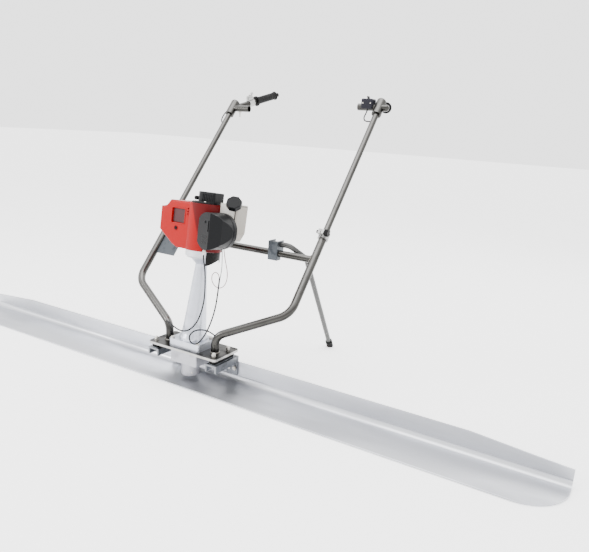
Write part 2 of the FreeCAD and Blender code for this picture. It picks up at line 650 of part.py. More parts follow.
def spark_plug():
    place = V(head_x() + 8, 0, CRANK_MIDDLE + BORE_RADIUS - 3.5)
    metal = rod(6.8, place, Z_AXIS, 24)
    nut = hexagon(17, place + V(0, 0, 24), Z_AXIS, 8)
    cap = rod(8, place + V(0, 0, 32), Z_AXIS, 34)
    return on_engine(metal.fuse(nut).fuse(cap).removeSplitter())


def flywheel():
    low = CASE_TOP + 5
    disc = rod(FLYWHEEL_RADIUS, V(0, 0, low), Z_AXIS, 12)
    hub = rod(16, V(0, 0, low), Z_AXIS, 34)
    wheel = disc.fuse(hub)
    vanes = 14
    for i in range(vanes):
        vane = block(24, FLYWHEEL_RADIUS - 2, -1.2, 1.2, low + 11, low + 32)
        vane.rotate(V(0, 0, 0), Z_AXIS, i * 360 / vanes)
        wheel = wheel.fuse(vane)
    return on_engine(wheel.cut(rod(JOURNAL_RADIUS, V(0, 0, low), Z_AXIS, 34)).removeSplitter())


# ---- engine covers
def cylinder_cover():
    """The cooling cover over the cylinder: a shell that is open towards the crankcase."""
    outline = [(COVER_SPLIT, COVER_BOTTOM), (-72, COVER_BOTTOM), (-94, COVER_BOTTOM + 11), (COVER_END, 72),
               (COVER_END, SHROUD_TOP - 26), (COVER_END + 22, SHROUD_TOP - 22),
               (COVER_END + 40, SHROUD_TOP), (COVER_SPLIT, SHROUD_TOP)]
    wall = SHROUD_WALL
    outer_solid = prism([(x, -COVER_HALF_Y, z) for x, z in outline], V(0, 2 * COVER_HALF_Y, 0))
    long_edges = [edge for edge in outer_solid.Edges
                  if edge.CenterOfMass.x < COVER_SPLIT - 1 and abs(abs(edge.CenterOfMass.y) - COVER_HALF_Y) < 0.1]
    outer_solid = outer_solid.makeFillet(COVER_ROUNDING, long_edges)
    half = COVER_HALF_Y - wall
    corners = [V(x, -half, z) for x, z in outline]
    inner_face = Part.Face(Part.makePolygon(corners + corners[:1])).makeOffset2D(-wall)
    inner_solid = inner_face.extrude(V(0, 2 * half, 0))
    inner_solid = inner_solid.fuse(block(COVER_SPLIT - 2 * wall, COVER_SPLIT + 1, -half, half,
                                         COVER_BOTTOM + wall, SHROUD_TOP - wall))
    inner_solid = inner_solid.cut(window_block(wall, wall))
    shell = outer_solid.cut(inner_solid).cut(window_block(0, 0))
    for i in range(3):
        slot = block(-34, -16, -COVER_HALF_Y - 1, -COVER_HALF_Y + wall + 1, 134 + 9 * i, 139 + 9 * i)
        shell = shell.cut(slot)
    shell = shell.cut(rod(SHROUD_RADIUS, V(0, 0, 0), Z_AXIS, 300))
    shell = shell.cut(rod(EXHAUST_RADIUS + FREE_GAP, V(EXHAUST_X, 0, CRANK_MIDDLE), Y_AXIS, COVER_HALF_Y + 1))
    return on_engine(shell)


def window_block(grow, deeper):
    """The square recess in the front of the cylinder cover."""
    return block(-101 - grow, -43 + grow, -COVER_HALF_Y - 1, -COVER_HALF_Y + 7 + deeper,
                 101 - grow, 153 + grow)


def fan_cover():
    """The round shroud over crankcase and flywheel, open on the cylinder's side."""
    height = SHROUD_TOP - ENGINE_BASE
    outer = rod(SHROUD_RADIUS, V(0, 0, COVER_BOTTOM), Z_AXIS, SHROUD_TOP - COVER_BOTTOM)
    skirt = rod(SHROUD_RADIUS - SHROUD_WALL, V(0, 0, COVER_BOTTOM), Z_AXIS, ENGINE_BASE - COVER_BOTTOM)
    inner = rod(SHROUD_RADIUS - SHROUD_WALL, V(0, 0, ENGINE_BASE + SHROUD_WALL), Z_AXIS,
                height - 2 * SHROUD_WALL)
    mouth = rod(FLYWHEEL_RADIUS - 6, V(0, 0, SHROUD_TOP - 10), Z_AXIS, 20)
    floor_hole = rod(CASE_RADIUS, V(0, 0, ENGINE_BASE - 1), Z_AXIS, 10)
    window = block(-SHROUD_RADIUS - 1, 0, -52, 52, ENGINE_BASE - 1, SHROUD_TOP - SHROUD_WALL)
    return on_engine(outer.cut(inner).cut(skirt).cut(mouth).cut(floor_hole).cut(window))


def recoil_cover():
    low = SHROUD_TOP
    shell = turned([(0, low), (RECOIL_RADIUS, low), (RECOIL_RADIUS, low + RECOIL_RIM - 3),
                    (RECOIL_RADIUS - 4, low + RECOIL_RIM), (0, low + RECOIL_RIM)])
    boss = rod(RECOIL_BOSS_RADIUS, V(0, 0, low), Z_AXIS, RECOIL_TOP - low)
    nose = block(0, RECOIL_BOSS_END, -RECOIL_BOSS_RADIUS, RECOIL_BOSS_RADIUS - 6, low, RECOIL_TOP)
    nose = rounded_edges(nose, 6, Z_AXIS)
    boss = boss.fuse(nose).removeSplitter()
    boss = boss.makeFillet(3, [edge for edge in boss.Edges if edge.CenterOfMass.z > RECOIL_TOP - 1])
    shell = shell.fuse(boss)
    room = rod(RECOIL_BOSS_RADIUS - RECOIL_WALL, V(0, 0, low - 1), Z_AXIS, RECOIL_TOP - RECOIL_WALL - low + 1)
    post = rod(6, V(0, 0, PULL_Z - 9), Z_AXIS, RECOIL_TOP - PULL_Z + 8)
    rope_hole = rod(3.2, V(0, 0, PULL_Z), -X_AXIS, RECOIL_BOSS_RADIUS + 5)
    return on_engine(shell.cut(room).cut(rope_hole).fuse(post).removeSplitter())


def starter_reel():
    reel = turned([(0, PULL_Z - 7), (28, PULL_Z - 7), (28, PULL_Z - 4), (22, PULL_Z - 3), (22, PULL_Z + 3),
                   (28, PULL_Z + 4), (28, PULL_Z + 7), (0, PULL_Z + 7)])
    return on_engine(reel.cut(rod(6 + RUNNING_GAP, V(0, 0, PULL_Z - 8), Z_AXIS, 16)))


def pull_grip():
    """The starter's T-grip, with the rope's end that shows when it is home."""
    bar = rod(7, V(-RECOIL_BOSS_RADIUS - 8, -19, PULL_Z), Y_AXIS, 38)
    bar = bar.makeFillet(4, bar.Edges[0:1] + bar.Edges[2:3])
    rope = rod(2, V(-RECOIL_BOSS_RADIUS - 6, 0, PULL_Z), X_AXIS, 12)
    return on_engine(bar.fuse(rope).removeSplitter())


def air_cleaner_cover():
    """A round-fronted box: its plan has five sides, and its front view is a circle."""
    plan = [(28, -18), (28, -62), (40, -88), (104, -113), (134, -86), (148, -44), (149, -18)]
    wall = CLEANER_WALL
    centre = V(CLEANER_X, -10, CLEANER_Z)
    body = prism([(x, y, COVER_BOTTOM) for x, y in plan], V(0, 0, SHROUD_TOP - COVER_BOTTOM))
    body = rounded_edges(body, 3, Z_AXIS)
    body = body.common(rod(CLEANER_RADIUS, centre, -Y_AXIS, 120))
    room = block(34, 128, -84, -10, 0, SHROUD_TOP)
    room = room.common(rod(CLEANER_RADIUS - wall, centre, -Y_AXIS, 120))
    slot = block(96, 101, -130, -102, 94, 130)
    body = body.cut(room).cut(slot)
    return on_engine(body.cut(rod(SHROUD_RADIUS, V(0, 0, 0), Z_AXIS, 300)))


def carburettor():
    """The carburettor under the air cleaner's cover, its throat pointing at the crankcase."""
    outward = V(math.cos(math.radians(40)), -math.sin(math.radians(40)), 0)
    start = V(0, 0, 96) + outward * (SHROUD_RADIUS - 8)
    throat = rod(11, start, outward, 52)
    body = aimed(block(-14, 14, -15, 15, 14, 44), start, outward)
    bowl = rod(12, start + outward * 29 + V(0, 0, -34), Z_AXIS, 24)
    body = throat.fuse(body).fuse(bowl).cut(rod(7, start, outward, 53))
    return on_engine(body.cut(rod(SHROUD_RADIUS, V(0, 0, 0), Z_AXIS, 300)).removeSplitter())


def tank_prism(inset):
    left = SHROUD_RADIUS - 2 + 2 * inset
    points = [(left, 60 + inset), (110 - inset * 0.6, 60 + inset), (127 - inset, 92 + inset * 0.3),
              (129 - inset, 188 - inset), (left, 188 - inset)]
    return prism([(x, -12 + inset, z) for x, z in points], V(0, TANK_DEPTH - 2 * inset, 0))


def filler_direction():
    return V(0.35, -0.70, 0.62).normalize()


def fuel_tank():
    outer = tank_prism(0)
    outer = outer.makeFillet(14, [edge for edge in outer.Edges if edge.CenterOfMass.x > 100])
    neck = rod(17, V(*FILLER_START), filler_direction(), 26)
    body = outer.fuse(neck).cut(tank_prism(3))
    body = body.cut(rod(14, V(*FILLER_START), filler_direction(), 40))
    corner = block(60, 150, -60, -12 + 0.5, 40, 150)
    body = body.cut(corner)
    return on_engine(body.cut(rod(SHROUD_RADIUS, V(0, 0, 0), Z_AXIS, 300)).removeSplitter())


def fuel_cap():
    """An eight-sided screw cap over the filler neck."""
    radius = 27.0
    corners = [(radius * math.cos(math.radians(a)), radius * math.sin(math.radians(a)), 0)
               for a in range(0, 360, 45)]
    body = prism(corners, V(0, 0, 18))
    body = body.makeFillet(3, [edge for edge in body.Edges if edge.CenterOfMass.z > 17])
    body = body.cut(rod(17 + FREE_GAP, V(0, 0, 0), Z_AXIS, 12))
    return on_engine(aimed(body, V(*FILLER_START) + filler_direction() * CAP_HEIGHT, filler_direction()))


def muffler():
    """The silencer box behind the cylinder, on its pipe from the exhaust port."""
    front = COVER_HALF_Y + 8
    body = block(-86, 0, front, front + 46, 36, 124)
    body = body.makeFillet(12, body.Edges)
    start = V(EXHAUST_X + 0, BORE_RADIUS + 4.5, CRANK_MIDDLE)
    pipe = ring(EXHAUST_RADIUS, EXHAUST_RADIUS - 2, start, Y_AXIS, front + 14 - start.y)
    outlet = ring(7, 5.5, V(-22, front + 26, 122), Z_AXIS, 10)
    return on_engine(body.fuse(pipe).fuse(outlet).removeSplitter())


# ---- arms
def arm_point(side, distance):
    """A point on the straight upper line of an arm, measured from the elbow."""
    elbow = V(side_sign(side) * ARM_WIDE_X, ARM_ELBOW[0], ARM_ELBOW[1])
    return elbow + ARM_DIRECTION * distance


def arm_points(side):
    sign = side_sign(side)
    return [V(sign * ARM_FOOT_X, ARM_KNEE[1], PLATE_TOP),
            V(sign * ARM_FOOT_X, ARM_KNEE[1], PLATE_TOP + ARM_KNEE[0]),
            arm_point(side, 0), arm_point(side, ARM_LENGTH)]


def lower_arm(side):
    """A bent tube from the base plate up to the clamp collar, with a hole for its cable."""
    tube = bent_tube(arm_points(side), [KNEE_BEND, ELBOW_BEND], ARM_RADIUS, ARM_RADIUS - ARM_WALL)
    route = THROTTLE_CABLE[::-1] if side == "left" else SWITCH_CABLE
    start = V(*route[0])
    outward = (V(*route[1]) - start).normalize()
    return tube.cut(rod(CABLE / 2 + 0.3, start - outward * 8, outward, 24))


def crossbar():
    half = ARM_WIDE_X
    start = arm_point("left", CROSSBAR_DISTANCE)
    bar = ring(CROSSBAR_RADIUS, CROSSBAR_RADIUS - 2, start, X_AXIS, 2 * half)
    for side in ("left", "right"):
        bar = bar.cut(rod(ARM_RADIUS, arm_point(side, 0), ARM_DIRECTION, ARM_LENGTH))
    return sorted(bar.Solids, key=lambda solid: solid.Volume)[-1]


def corner_plate():
    """A flat plate welded in the corner between left arm and crossbar."""
    across = V(0, -ARM_DIRECTION.z, ARM_DIRECTION.y)
    start = arm_point("left", CROSSBAR_DISTANCE - 92) + across * -2
    low = start + V(ARM_RADIUS - 1, 0, 0)
    top = low + ARM_DIRECTION * (92 - CROSSBAR_RADIUS + 1)
    width = V(CORNER_PLATE_WIDTH, 0, 0)
    plate = prism([tuple(low), tuple(low + width), tuple(top + width), tuple(top)], across * 4)
    plate = plate.cut(rod(ARM_RADIUS, arm_point("left", 0), ARM_DIRECTION, ARM_LENGTH))
    bar = rod(CROSSBAR_RADIUS, arm_point("left", CROSSBAR_DISTANCE), X_AXIS, 2 * ARM_WIDE_X)
    return plate.cut(bar)


def clamp_side():
    """The direction from an arm's axis to its clamp bolt: up and forwards."""
    return V(0, -ARM_DIRECTION.z, ARM_DIRECTION.y)


def clamp_collar(side):
    """A split collar at the top of the lower arm, with two ears for the clamp bolt."""
    start = arm_point(side, ARM_LENGTH - COLLAR_HEIGHT + 5)
    middle = start + ARM_DIRECTION * (COLLAR_HEIGHT / 2)
    body = rod(COLLAR_RADIUS, start, ARM_DIRECTION, COLLAR_HEIGHT)
    ears = Part.makeBox(22, 25, 18, V(-11, 10, -9))
    turn = FreeCAD.Rotation(X_AXIS, clamp_side(), ARM_DIRECTION, "XYZ")
    ears.Placement = FreeCAD.Placement(middle, turn)
    body = body.fuse(ears)
    body = body.cut(rod(ARM_RADIUS + RUNNING_GAP, start, ARM_DIRECTION, COLLAR_HEIGHT - 5))
    body = body.cut(rod(UPPER_RADIUS + RUNNING_GAP, start, ARM_DIRECTION, COLLAR_HEIGHT))
    slit = Part.makeBox(3, 40, 60, V(-1.5, 0, -30))
    slit.Placement = FreeCAD.Placement(middle, turn)
    bolt_line = middle + clamp_side() * CLAMP_OFFSET
    hole = rod(BOLT_RADIUS + RUNNING_GAP, bolt_line - X_AXIS * 20, X_AXIS, 40)
    return body.cut(slit).cut(hole).removeSplitter()


def clamp_knob(side):
    """The clamp bolt with a lobed knob outside and a round nut inside."""
    sign = side_sign(side)
    outward = X_AXIS * sign
    middle = arm_point(side, ARM_LENGTH + 5 - COLLAR_HEIGHT / 2) + clamp_side() * CLAMP_OFFSET
    shank = rod(BOLT_RADIUS, middle - outward * 19, outward, 36)
    knob = rod(KNOB_RADIUS, middle + outward * 14, outward, 14)
    knob = knob.fuse(rod(7, middle + outward * 11.3, outward, 3))
    for i in range(5):
        angle = math.radians(i * 72)
        offset = V(0, math.cos(angle), math.sin(angle)) * (KNOB_RADIUS + 2)
        knob = knob.cut(rod(5, middle + outward * 13 + offset, outward, 16))
    end = rod(6, middle - outward * 18, outward, 5)
    return knob.fuse(shank).fuse(end).removeSplitter()


def upper_tube(side):
    start = arm_point(side, ARM_LENGTH - INSERTION)
    length = ARM_REACH[side] - 14 - ARM_LENGTH + INSERTION
    return ring(UPPER_RADIUS, UPPER_RADIUS - UPPER_WALL, start, ARM_DIRECTION, length)


# ---- stand
def stand_direction():
    across = V(0, STAND_FOOT[1] - STAND_Y, -STAND_Z)
    return across.normalize()


def stand_bracket():
    """A folded bracket on top of the crossbar with two ears for the stand's pivot."""
    low_x, high_x = STAND_BRACKET_X
    bar = arm_point("left", CROSSBAR_DISTANCE)
    front = bar.y - CROSSBAR_RADIUS - 4
    body = block(low_x, high_x, front, STAND_Y + 14, bar.z - 24, STAND_Z + 14)
    body = body.cut(block(low_x + 4, high_x - 4, front + 4, STAND_Y + 20, bar.z - 30, STAND_Z + 20))
    body = body.cut(rod(CROSSBAR_RADIUS, V(-ARM_WIDE_X, bar.y, bar.z), X_AXIS, 2 * ARM_WIDE_X))
    back_cut = block(low_x - 1, high_x + 1, bar.y + CROSSBAR_RADIUS - 2, STAND_Y + 20,
                     bar.z - 30, bar.z + 4)
    body = body.cut(back_cut)
    pivot = rod(STAND_RADIUS + RUNNING_GAP, V(low_x - 1, STAND_Y, STAND_Z), X_AXIS, high_x - low_x + 2)
    return body.cut(pivot)


def stand_points():
    along = stand_direction()
    pivot = V(0, STAND_Y, STAND_Z)
    length = V(0, STAND_FOOT[1] - STAND_Y, -STAND_Z).Length
    return [pivot + V(STAND_BRACKET_X[0] - 8, 0, 0), pivot + V(STAND_BRACKET_X[1] + 34, 0, 0),
            pivot + V(STAND_SHOULDER_X, 0, 0) + along * STAND_SHOULDER_DROP,
            pivot + V(STAND_FOOT[0], 0, 0) + along * (length - 16)]


def stand_leg():
    return bent_tube(stand_points(), [STAND_BEND, STAND_BEND], STAND_RADIUS, STAND_RADIUS - 1.5)


def stand_foot():
    """A rubber shoe on the leg's end, cut flat where it stands on the ground."""
    points = stand_points()
    along = (points[3] - points[2]).normalize()
    shoe = rod(FOOT_RADIUS, points[3] - along * (FOOT_HEIGHT - 12), along, FOOT_HEIGHT)
    shoe = shoe.cut(rod(STAND_RADIUS, points[3] - along * FOOT_HEIGHT, along, FOOT_HEIGHT))
    return shoe.cut(block(0, 500, 300, 900, -60, 0))


# ---- handles
def bar_start(side):
    centre = arm_point(side, ARM_REACH[side] - BAR_BELOW_TOP)
    return centre + X_AXIS * (side_sign(side) * LUG_OFFSET[side])


def bar_axis(side):
    return V(*BAR_DIRECTION[side]).normalize()


def handlebar(side):
    """The welded head of an arm: socket, bright stub across and the bar inside the grip."""
    sign = side_sign(side)
    centre = arm_point(side, ARM_REACH[side] - BAR_BELOW_TOP)
    top = arm_point(side, ARM_REACH[side])
    socket = rod(SOCKET_RADIUS, top - ARM_DIRECTION * SOCKET_LENGTH, ARM_DIRECTION, SOCKET_LENGTH)
    socket = socket.makeFillet(8, [edge for edge in socket.Edges
                                   if (edge.CenterOfMass - top).Length < 1])
    stub = rod(STUB_RADIUS, centre, X_AXIS * -sign, STUB_LENGTH)
    bar_length = GRIP_START[side] + GRIP_LENGTH - GRIP_END
    bar = rod(BAR_RADIUS, bar_start(side), bar_axis(side), bar_length)
    body = socket.fuse(stub).fuse(bar)
    if LUG_OFFSET[side] > 0:
        body = body.fuse(rod(STUB_RADIUS, centre, X_AXIS * sign, LUG_OFFSET[side]))
        body = body.fuse(Part.makeSphere(STUB_RADIUS, bar_start(side)))
    body = body.cut(rod(STUB_RADIUS - 2, centre - X_AXIS * (sign * STUB_LENGTH), X_AXIS * sign, STUB_LENGTH - 24))
    seat = rod(UPPER_RADIUS, arm_point(side, ARM_REACH[side] - SOCKET_LENGTH), ARM_DIRECTION,
               SOCKET_LENGTH - 14)
    return body.cut(seat).removeSplitter()


def grip(side):
    """A rubber grip with a wide inner flange, ribs, an outer flange and a closed end."""
    long = GRIP_LENGTH
    points = [(0, 0), (FLANGE_RADIUS, 0), (FLANGE_RADIUS, 5), (GRIP_RADIUS, 10)]
    ribs = 7
    pitch = (long - 26) / ribs
    for i in range(ribs):
        z = 12 + i * pitch
        points += [(GRIP_RADIUS, z), (GRIP_RADIUS - 1, z + 2), (GRIP_RADIUS - 1, z + 4), (GRIP_RADIUS, z + 6)]
    points += [(GRIP_RADIUS, long - 10), (GRIP_RADIUS + 3, long - 6), (GRIP_RADIUS + 3, long - 2),
               (GRIP_RADIUS - 5, long + 2), (9, long + 4), (9, long + 16), (7, long + 18), (0, long + 18)]
    body = turned(points).cut(rod(BAR_RADIUS, V(0, 0, 0), Z_AXIS, long - GRIP_END))
    return aimed(body, bar_start(side) + bar_axis(side) * GRIP_START[side], bar_axis(side))


def lever_frame():
    """Origin and axis of the throttle lever's pivot, square to the left bar and facing forwards."""
    along = bar_axis("left")
    upward = (Z_AXIS - along * Z_AXIS.dot(along)).normalize()
    origin = bar_start("left") + along * LEVER_ALONG + upward * (BAR_RADIUS + 4)
    return origin, upward, along


def throttle_clamp():
    """A cast ring round the bar with a round housing on top for the lever."""
    origin, upward, along = lever_frame()
    centre = bar_start("left") + along * (LEVER_ALONG - 13)
    body = rod(BAR_RADIUS + 6, centre, along, 26)
    body = body.fuse(rod(16, origin, upward, 10))
    body = body.cut(rod(BAR_RADIUS, centre - along, along, 50))
    pin = rod(LEVER_PIN, origin + upward * 9, upward, 12)
    return body.fuse(pin).removeSplitter()


def throttle_lever():
    """A disc on the housing's pin, with an arm that rises to a small round head."""
    origin, upward, along = lever_frame()
    seat = origin + upward * (10 + FREE_GAP)
    across = upward.cross(along)
    head = seat + upward * 16 - across * 20
    foot = seat + upward * 3 - across * 9
    arm = rod(3.2, foot, head - foot, (head - foot).Length)
    body = rod(14, seat, upward, 5).fuse(arm).fuse(Part.makeSphere(6, head))
    return body.cut(rod(LEVER_PIN + RUNNING_GAP, origin, upward, 30)).removeSplitter()


def switch_place():
    return arm_point("right", ARM_REACH["right"] - BAR_BELOW_TOP) - X_AXIS * SWITCH_ALONG


def switch_box():
    """The stop switch's box, saddled on the right handle's bright stub."""
    centre = switch_place()
    body = block(-24, 24, -20, 20, -6, 32)
    body = body.makeFillet(5, [edge for edge in body.Edges if edge.CenterOfMass.z > -5])
    body = body.cut(block(-8, 7, -7 - FREE_GAP, 7 + FREE_GAP, 24, 40))
    body.translate(centre)
    pin_hole = rod(PIN_RADIUS + RUNNING_GAP, centre + V(0, -12, 29), Y_AXIS, 24)
    return body.cut(rod(STUB_RADIUS, centre - X_AXIS * 40, X_AXIS, 80)).cut(pin_hole)


def switch_toggle():
    """The rocker that stops the engine, on a short pin across its box."""
    nub = prism([(-3, -7, 29), (4, -7, 29), (-1, -7, 42), (-7, -7, 42)], V(0, 14, 0))
    pin = rod(PIN_RADIUS, V(0, -11, 29), Y_AXIS, 22)
    body = nub.fuse(pin).fuse(rod(4, V(0, -7, 29), Y_AXIS, 14)).removeSplitter()
    body.translate(switch_place())
    return body


SIMPLE_NODES = [screed_blade, blade_brackets, rubber_isolators, bracket_bolts, base_plate, plate_bolts,
                mast_bolts, exciter_housing, exciter_cover, shaft_bearings, drive_shaft, eccentric_weight,
                mast, clutch_housing, clutch_drum, clutch_shoes, crankcase, crankshaft_halves,
                connecting_rod, piston, cylinder, spark_plug, flywheel, cylinder_cover, fan_cover,
                recoil_cover, starter_reel, pull_grip, air_cleaner_cover, carburettor, fuel_tank,
                fuel_cap, muffler, crossbar, corner_plate, stand_bracket, stand_leg, stand_foot,
                throttle_clamp, throttle_lever, switch_box, switch_toggle]
SIDED_NODES = [lower_arm, clamp_collar, clamp_knob, upper_tube, handlebar, grip]
CABLES = {"throttle_cable": (THROTTLE_CABLE, CABLE), "switch_cable": (SWITCH_CABLE, CABLE),
          "green_wire": (GREEN_WIRE, WIRE), "red_wire": (RED_WIRE, WIRE),
          "throttle_lead": (THROTTLE_LEAD, CABLE), "switch_lead": (SWITCH_LEAD, CABLE)}


def write(name, shape):
    problems = [] if shape.isValid() and shape.Volume > 0 else ["INVALID"]
    print("%-20s solids %2d volume %10.0f %s" % (name, len(shape.Solids), shape.Volume, " ".join(problems)))
    shape.exportStep("parts/%s.step" % name)


os.makedirs("parts", exist_ok=True)
for make in SIMPLE_NODES:
    write(make.__name__, make())
for make in SIDED_NODES:
    for side in ("left", "right"):
        write(make.__name__ + "_" + side, make(side))
for name, (route, diameter) in CABLES.items():
    write(name, cable_tube(name, route, diameter))
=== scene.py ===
import json
import math

import bmesh
import bpy
from mathutils import Matrix, Vector


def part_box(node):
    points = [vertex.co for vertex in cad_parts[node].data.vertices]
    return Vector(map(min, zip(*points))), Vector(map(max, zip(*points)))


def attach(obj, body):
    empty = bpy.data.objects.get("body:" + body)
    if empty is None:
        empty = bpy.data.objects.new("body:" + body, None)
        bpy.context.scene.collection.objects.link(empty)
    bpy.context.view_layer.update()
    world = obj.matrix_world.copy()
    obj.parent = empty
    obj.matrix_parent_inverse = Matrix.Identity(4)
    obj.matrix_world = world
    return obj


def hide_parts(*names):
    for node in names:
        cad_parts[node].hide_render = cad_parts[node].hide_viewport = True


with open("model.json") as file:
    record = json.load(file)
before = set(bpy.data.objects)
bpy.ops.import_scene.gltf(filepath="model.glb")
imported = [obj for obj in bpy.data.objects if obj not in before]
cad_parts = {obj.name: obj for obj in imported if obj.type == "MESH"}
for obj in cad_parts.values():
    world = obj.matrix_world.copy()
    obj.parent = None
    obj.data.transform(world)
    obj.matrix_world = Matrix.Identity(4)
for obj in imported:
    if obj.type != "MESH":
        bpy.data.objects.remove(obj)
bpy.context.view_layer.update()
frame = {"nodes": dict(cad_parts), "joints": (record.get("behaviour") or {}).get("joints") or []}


# ---- Screed blade
# One long aluminium extrusion, drawn through a die and cut to length, so that fine lines run
# along it. Its face is bright mill finish with faint smears from handling and wet concrete.

class Value:
    """A number, colour or vector inside a finish. Operators on numbers add Math nodes."""

    def __init__(self, finish, socket):
        self.finish = finish
        self.socket = socket

    def math(self, operation, first, second):
        return self.finish.node("ShaderNodeMath", {"operation": operation}, {0: first, 1: second})

    def __add__(self, other):
        return self.math("ADD", self, other)

    __radd__ = __add__

    def __sub__(self, other):
        return self.math("SUBTRACT", self, other)

    def __rsub__(self, other):
        return self.math("SUBTRACT", other, self)

    def __mul__(self, other):
        return self.math("MULTIPLY", self, other)

    __rmul__ = __mul__


class Finish:
    """One surface finish. Constants go straight to the shader's own sockets."""

    def __init__(self, name, **constants):
        self.material = bpy.data.materials.new(name)
        self.material.use_nodes = True
        self.tree = self.material.node_tree
        self.shader = self.tree.nodes["Principled BSDF"]
        for name, value in constants.items():
            self.shader.inputs[name.replace("_", " ")].default_value = value

    def node(self, kind, settings=None, inputs=None, output=0):
        made = self.tree.nodes.new(kind)
        for name, value in (settings or {}).items():
            setattr(made, name, value)
        for name, value in (inputs or {}).items():
            if isinstance(value, Value):
                self.tree.links.new(value.socket, made.inputs[name])
            else:
                made.inputs[name].default_value = value
        return Value(self, made.outputs[output])

    def place(self, stretch=(1, 1, 1), turn=(0, 0, 0)):
        """The point on the piece, turned and then stretched."""
        point = self.node("ShaderNodeTexCoord", output="Object")
        turned = self.node("ShaderNodeMapping", inputs={"Vector": point, "Rotation": turn})
        return self.node("ShaderNodeMapping", inputs={"Vector": turned, "Scale": stretch})

    def noise(self, scale, detail=3.0, stretch=(1, 1, 1), turn=(0, 0, 0)):
        where = self.place(stretch, turn)
        return self.node("ShaderNodeTexNoise", inputs={"Vector": where, "Scale": scale, "Detail": detail})

    def cells(self, scale):
        return self.node("ShaderNodeTexVoronoi", inputs={"Vector": self.place(), "Scale": scale})

    def step(self, value, low, high):
        """0 below low and 1 above high, smooth between."""
        return self.node("ShaderNodeMapRange", {"interpolation_type": "SMOOTHSTEP"},
                         {"Value": value, "From Min": low, "From Max": high})

    def mix(self, mask, first, second):
        colours = {0: mask, 6: tuple(first) + (1,) if isinstance(first, tuple) else first,
                   7: tuple(second) + (1,) if isinstance(second, tuple) else second}
        return self.node("ShaderNodeMix", {"data_type": "RGBA"}, colours, output=2)

    def paint(self, **parts):
        """Links what varies: Base_Color, Roughness, Metallic or height, a bump in metres."""
        for name, value in parts.items():
            if name == "bump":
                height, depth = value
                normal = self.node("ShaderNodeBump", inputs={"Height": height, "Distance": depth,
                                                             "Strength": 1.0})
                self.tree.links.new(normal.socket, self.shader.inputs["Normal"])
            else:
                self.tree.links.new(value.socket, self.shader.inputs[name.replace("_", " ")])
        return self.material


def coat(material, *nodes):
    """Gives the finish to CAD nodes whose own shape is kept."""
    for name in nodes:
        for slot in frame["nodes"][name].material_slots:
            slot.material = material


extrusion = Finish("blade_alloy", Metallic=1.0, Anisotropic=0.35)
drawn = extrusion.noise(700, 4, stretch=(0.004, 1, 1))
smears = extrusion.noise(7, 5, stretch=(0.35, 1, 1.6))
handling = extrusion.step(smears, 0.45, 0.7)
specks = extrusion.step(extrusion.noise(420, 2), 0.66, 0.72)
bright = extrusion.mix(handling, (0.60, 0.61, 0.64), (0.48, 0.49, 0.52))
streaked = extrusion.mix(drawn * 0.35, bright, (0.38, 0.39, 0.42))
coat(extrusion.paint(Base_Color=extrusion.mix(specks * 0.3, streaked, (0.28, 0.28, 0.29)),
                     Roughness=0.26 + 0.16 * handling + 0.14 * drawn,
                     bump=(drawn, 0.00006)), "screed_blade")


# ---- Blade brackets and their bolts
# Pressed steel channels with a welded leg, zinc plated after welding. Hexagon bolts hold them
# to the rubber and to the blade's fin, and their plating has a slightly warmer cast.

def plated(name, colour, dull, roughness):
    """Zinc plating: a fine spangle and faint cloudy patches."""
    finish = Finish(name, Metallic=1.0)
    clouds = finish.noise(38, 4)
    spangle = finish.cells(330)
    stained = finish.step(clouds, 0.48, 0.72)
    base = finish.mix(stained, colour, dull)
    return finish.paint(Base_Color=finish.mix(spangle * 0.3, base, dull),
                        Roughness=roughness + 0.2 * stained + 0.08 * spangle,
                        bump=(finish.noise(520, 3), 0.00008))


bracket_zinc = plated("bracket_steel", (0.20, 0.21, 0.225), (0.11, 0.115, 0.125), 0.3)
bolt_zinc = plated("bolt_zinc", (0.58, 0.565, 0.53), (0.36, 0.34, 0.30), 0.24)
coat(bracket_zinc, "blade_brackets")
coat(bolt_zinc, "bracket_bolts", "plate_bolts", "mast_bolts")


# ---- Rubber isolators
# Two moulded bars of black rubber, bonded to a thin steel strip above and below. The rubber is
# squeezed between them, so its sides bulge a little and the mould's line runs round the middle.

BAR_WIDTH = 0.026
BAR_RINGS = 14              # levels of the mesh over the bar's height
BAR_CORNER = 0.006
BULGE = 0.0016
MOULD_LINE = 0.0005
STRIP = 0.0016              # thickness of the steel strips


def mesh_piece(name, vertices, faces, material, smooth=True):
    """A new mesh object from plain vertices and faces."""
    mesh = bpy.data.meshes.new(name)
    mesh.from_pydata([tuple(v) for v in vertices], [], faces)
    mesh.update()
    tidy = bmesh.new()
    tidy.from_mesh(mesh)
    bmesh.ops.recalc_face_normals(tidy, faces=tidy.faces)
    tidy.to_mesh(mesh)
    tidy.free()
    for polygon in mesh.polygons:
        polygon.use_smooth = smooth
    mesh.materials.append(material)
    piece = bpy.data.objects.new(name, mesh)
    bpy.context.scene.collection.objects.link(piece)
    return piece


def stacked(rings):
    """Vertices and faces of closed rings of equal count, with both ends filled."""
    count = len(rings[0])
    vertices = [point for ring in rings for point in ring]
    faces = []
    for level in range(len(rings) - 1):
        for i in range(count):
            j = (i + 1) % count
            low = level * count
            faces.append((low + i, low + j, low + count + j, low + count + i))
    faces.append(tuple(range(count))[::-1])
    faces.append(tuple(range(len(vertices) - count, len(vertices))))
    return vertices, faces


def rounded_rectangle(x0, x1, y0, y1, corner, steps=6):
    """Points round a rectangle with rounded corners."""
    points = []
    for cx, cy, start in ((x1 - corner, y1 - corner, 0), (x0 + corner, y1 - corner, 90),
                          (x0 + corner, y0 + corner, 180), (x1 - corner, y0 + corner, 270)):
        for i in range(steps + 1):
            angle = math.radians(start + 90 * i / steps)
            points.append((cx + corner * math.cos(angle), cy + corner * math.sin(angle)))
    return points


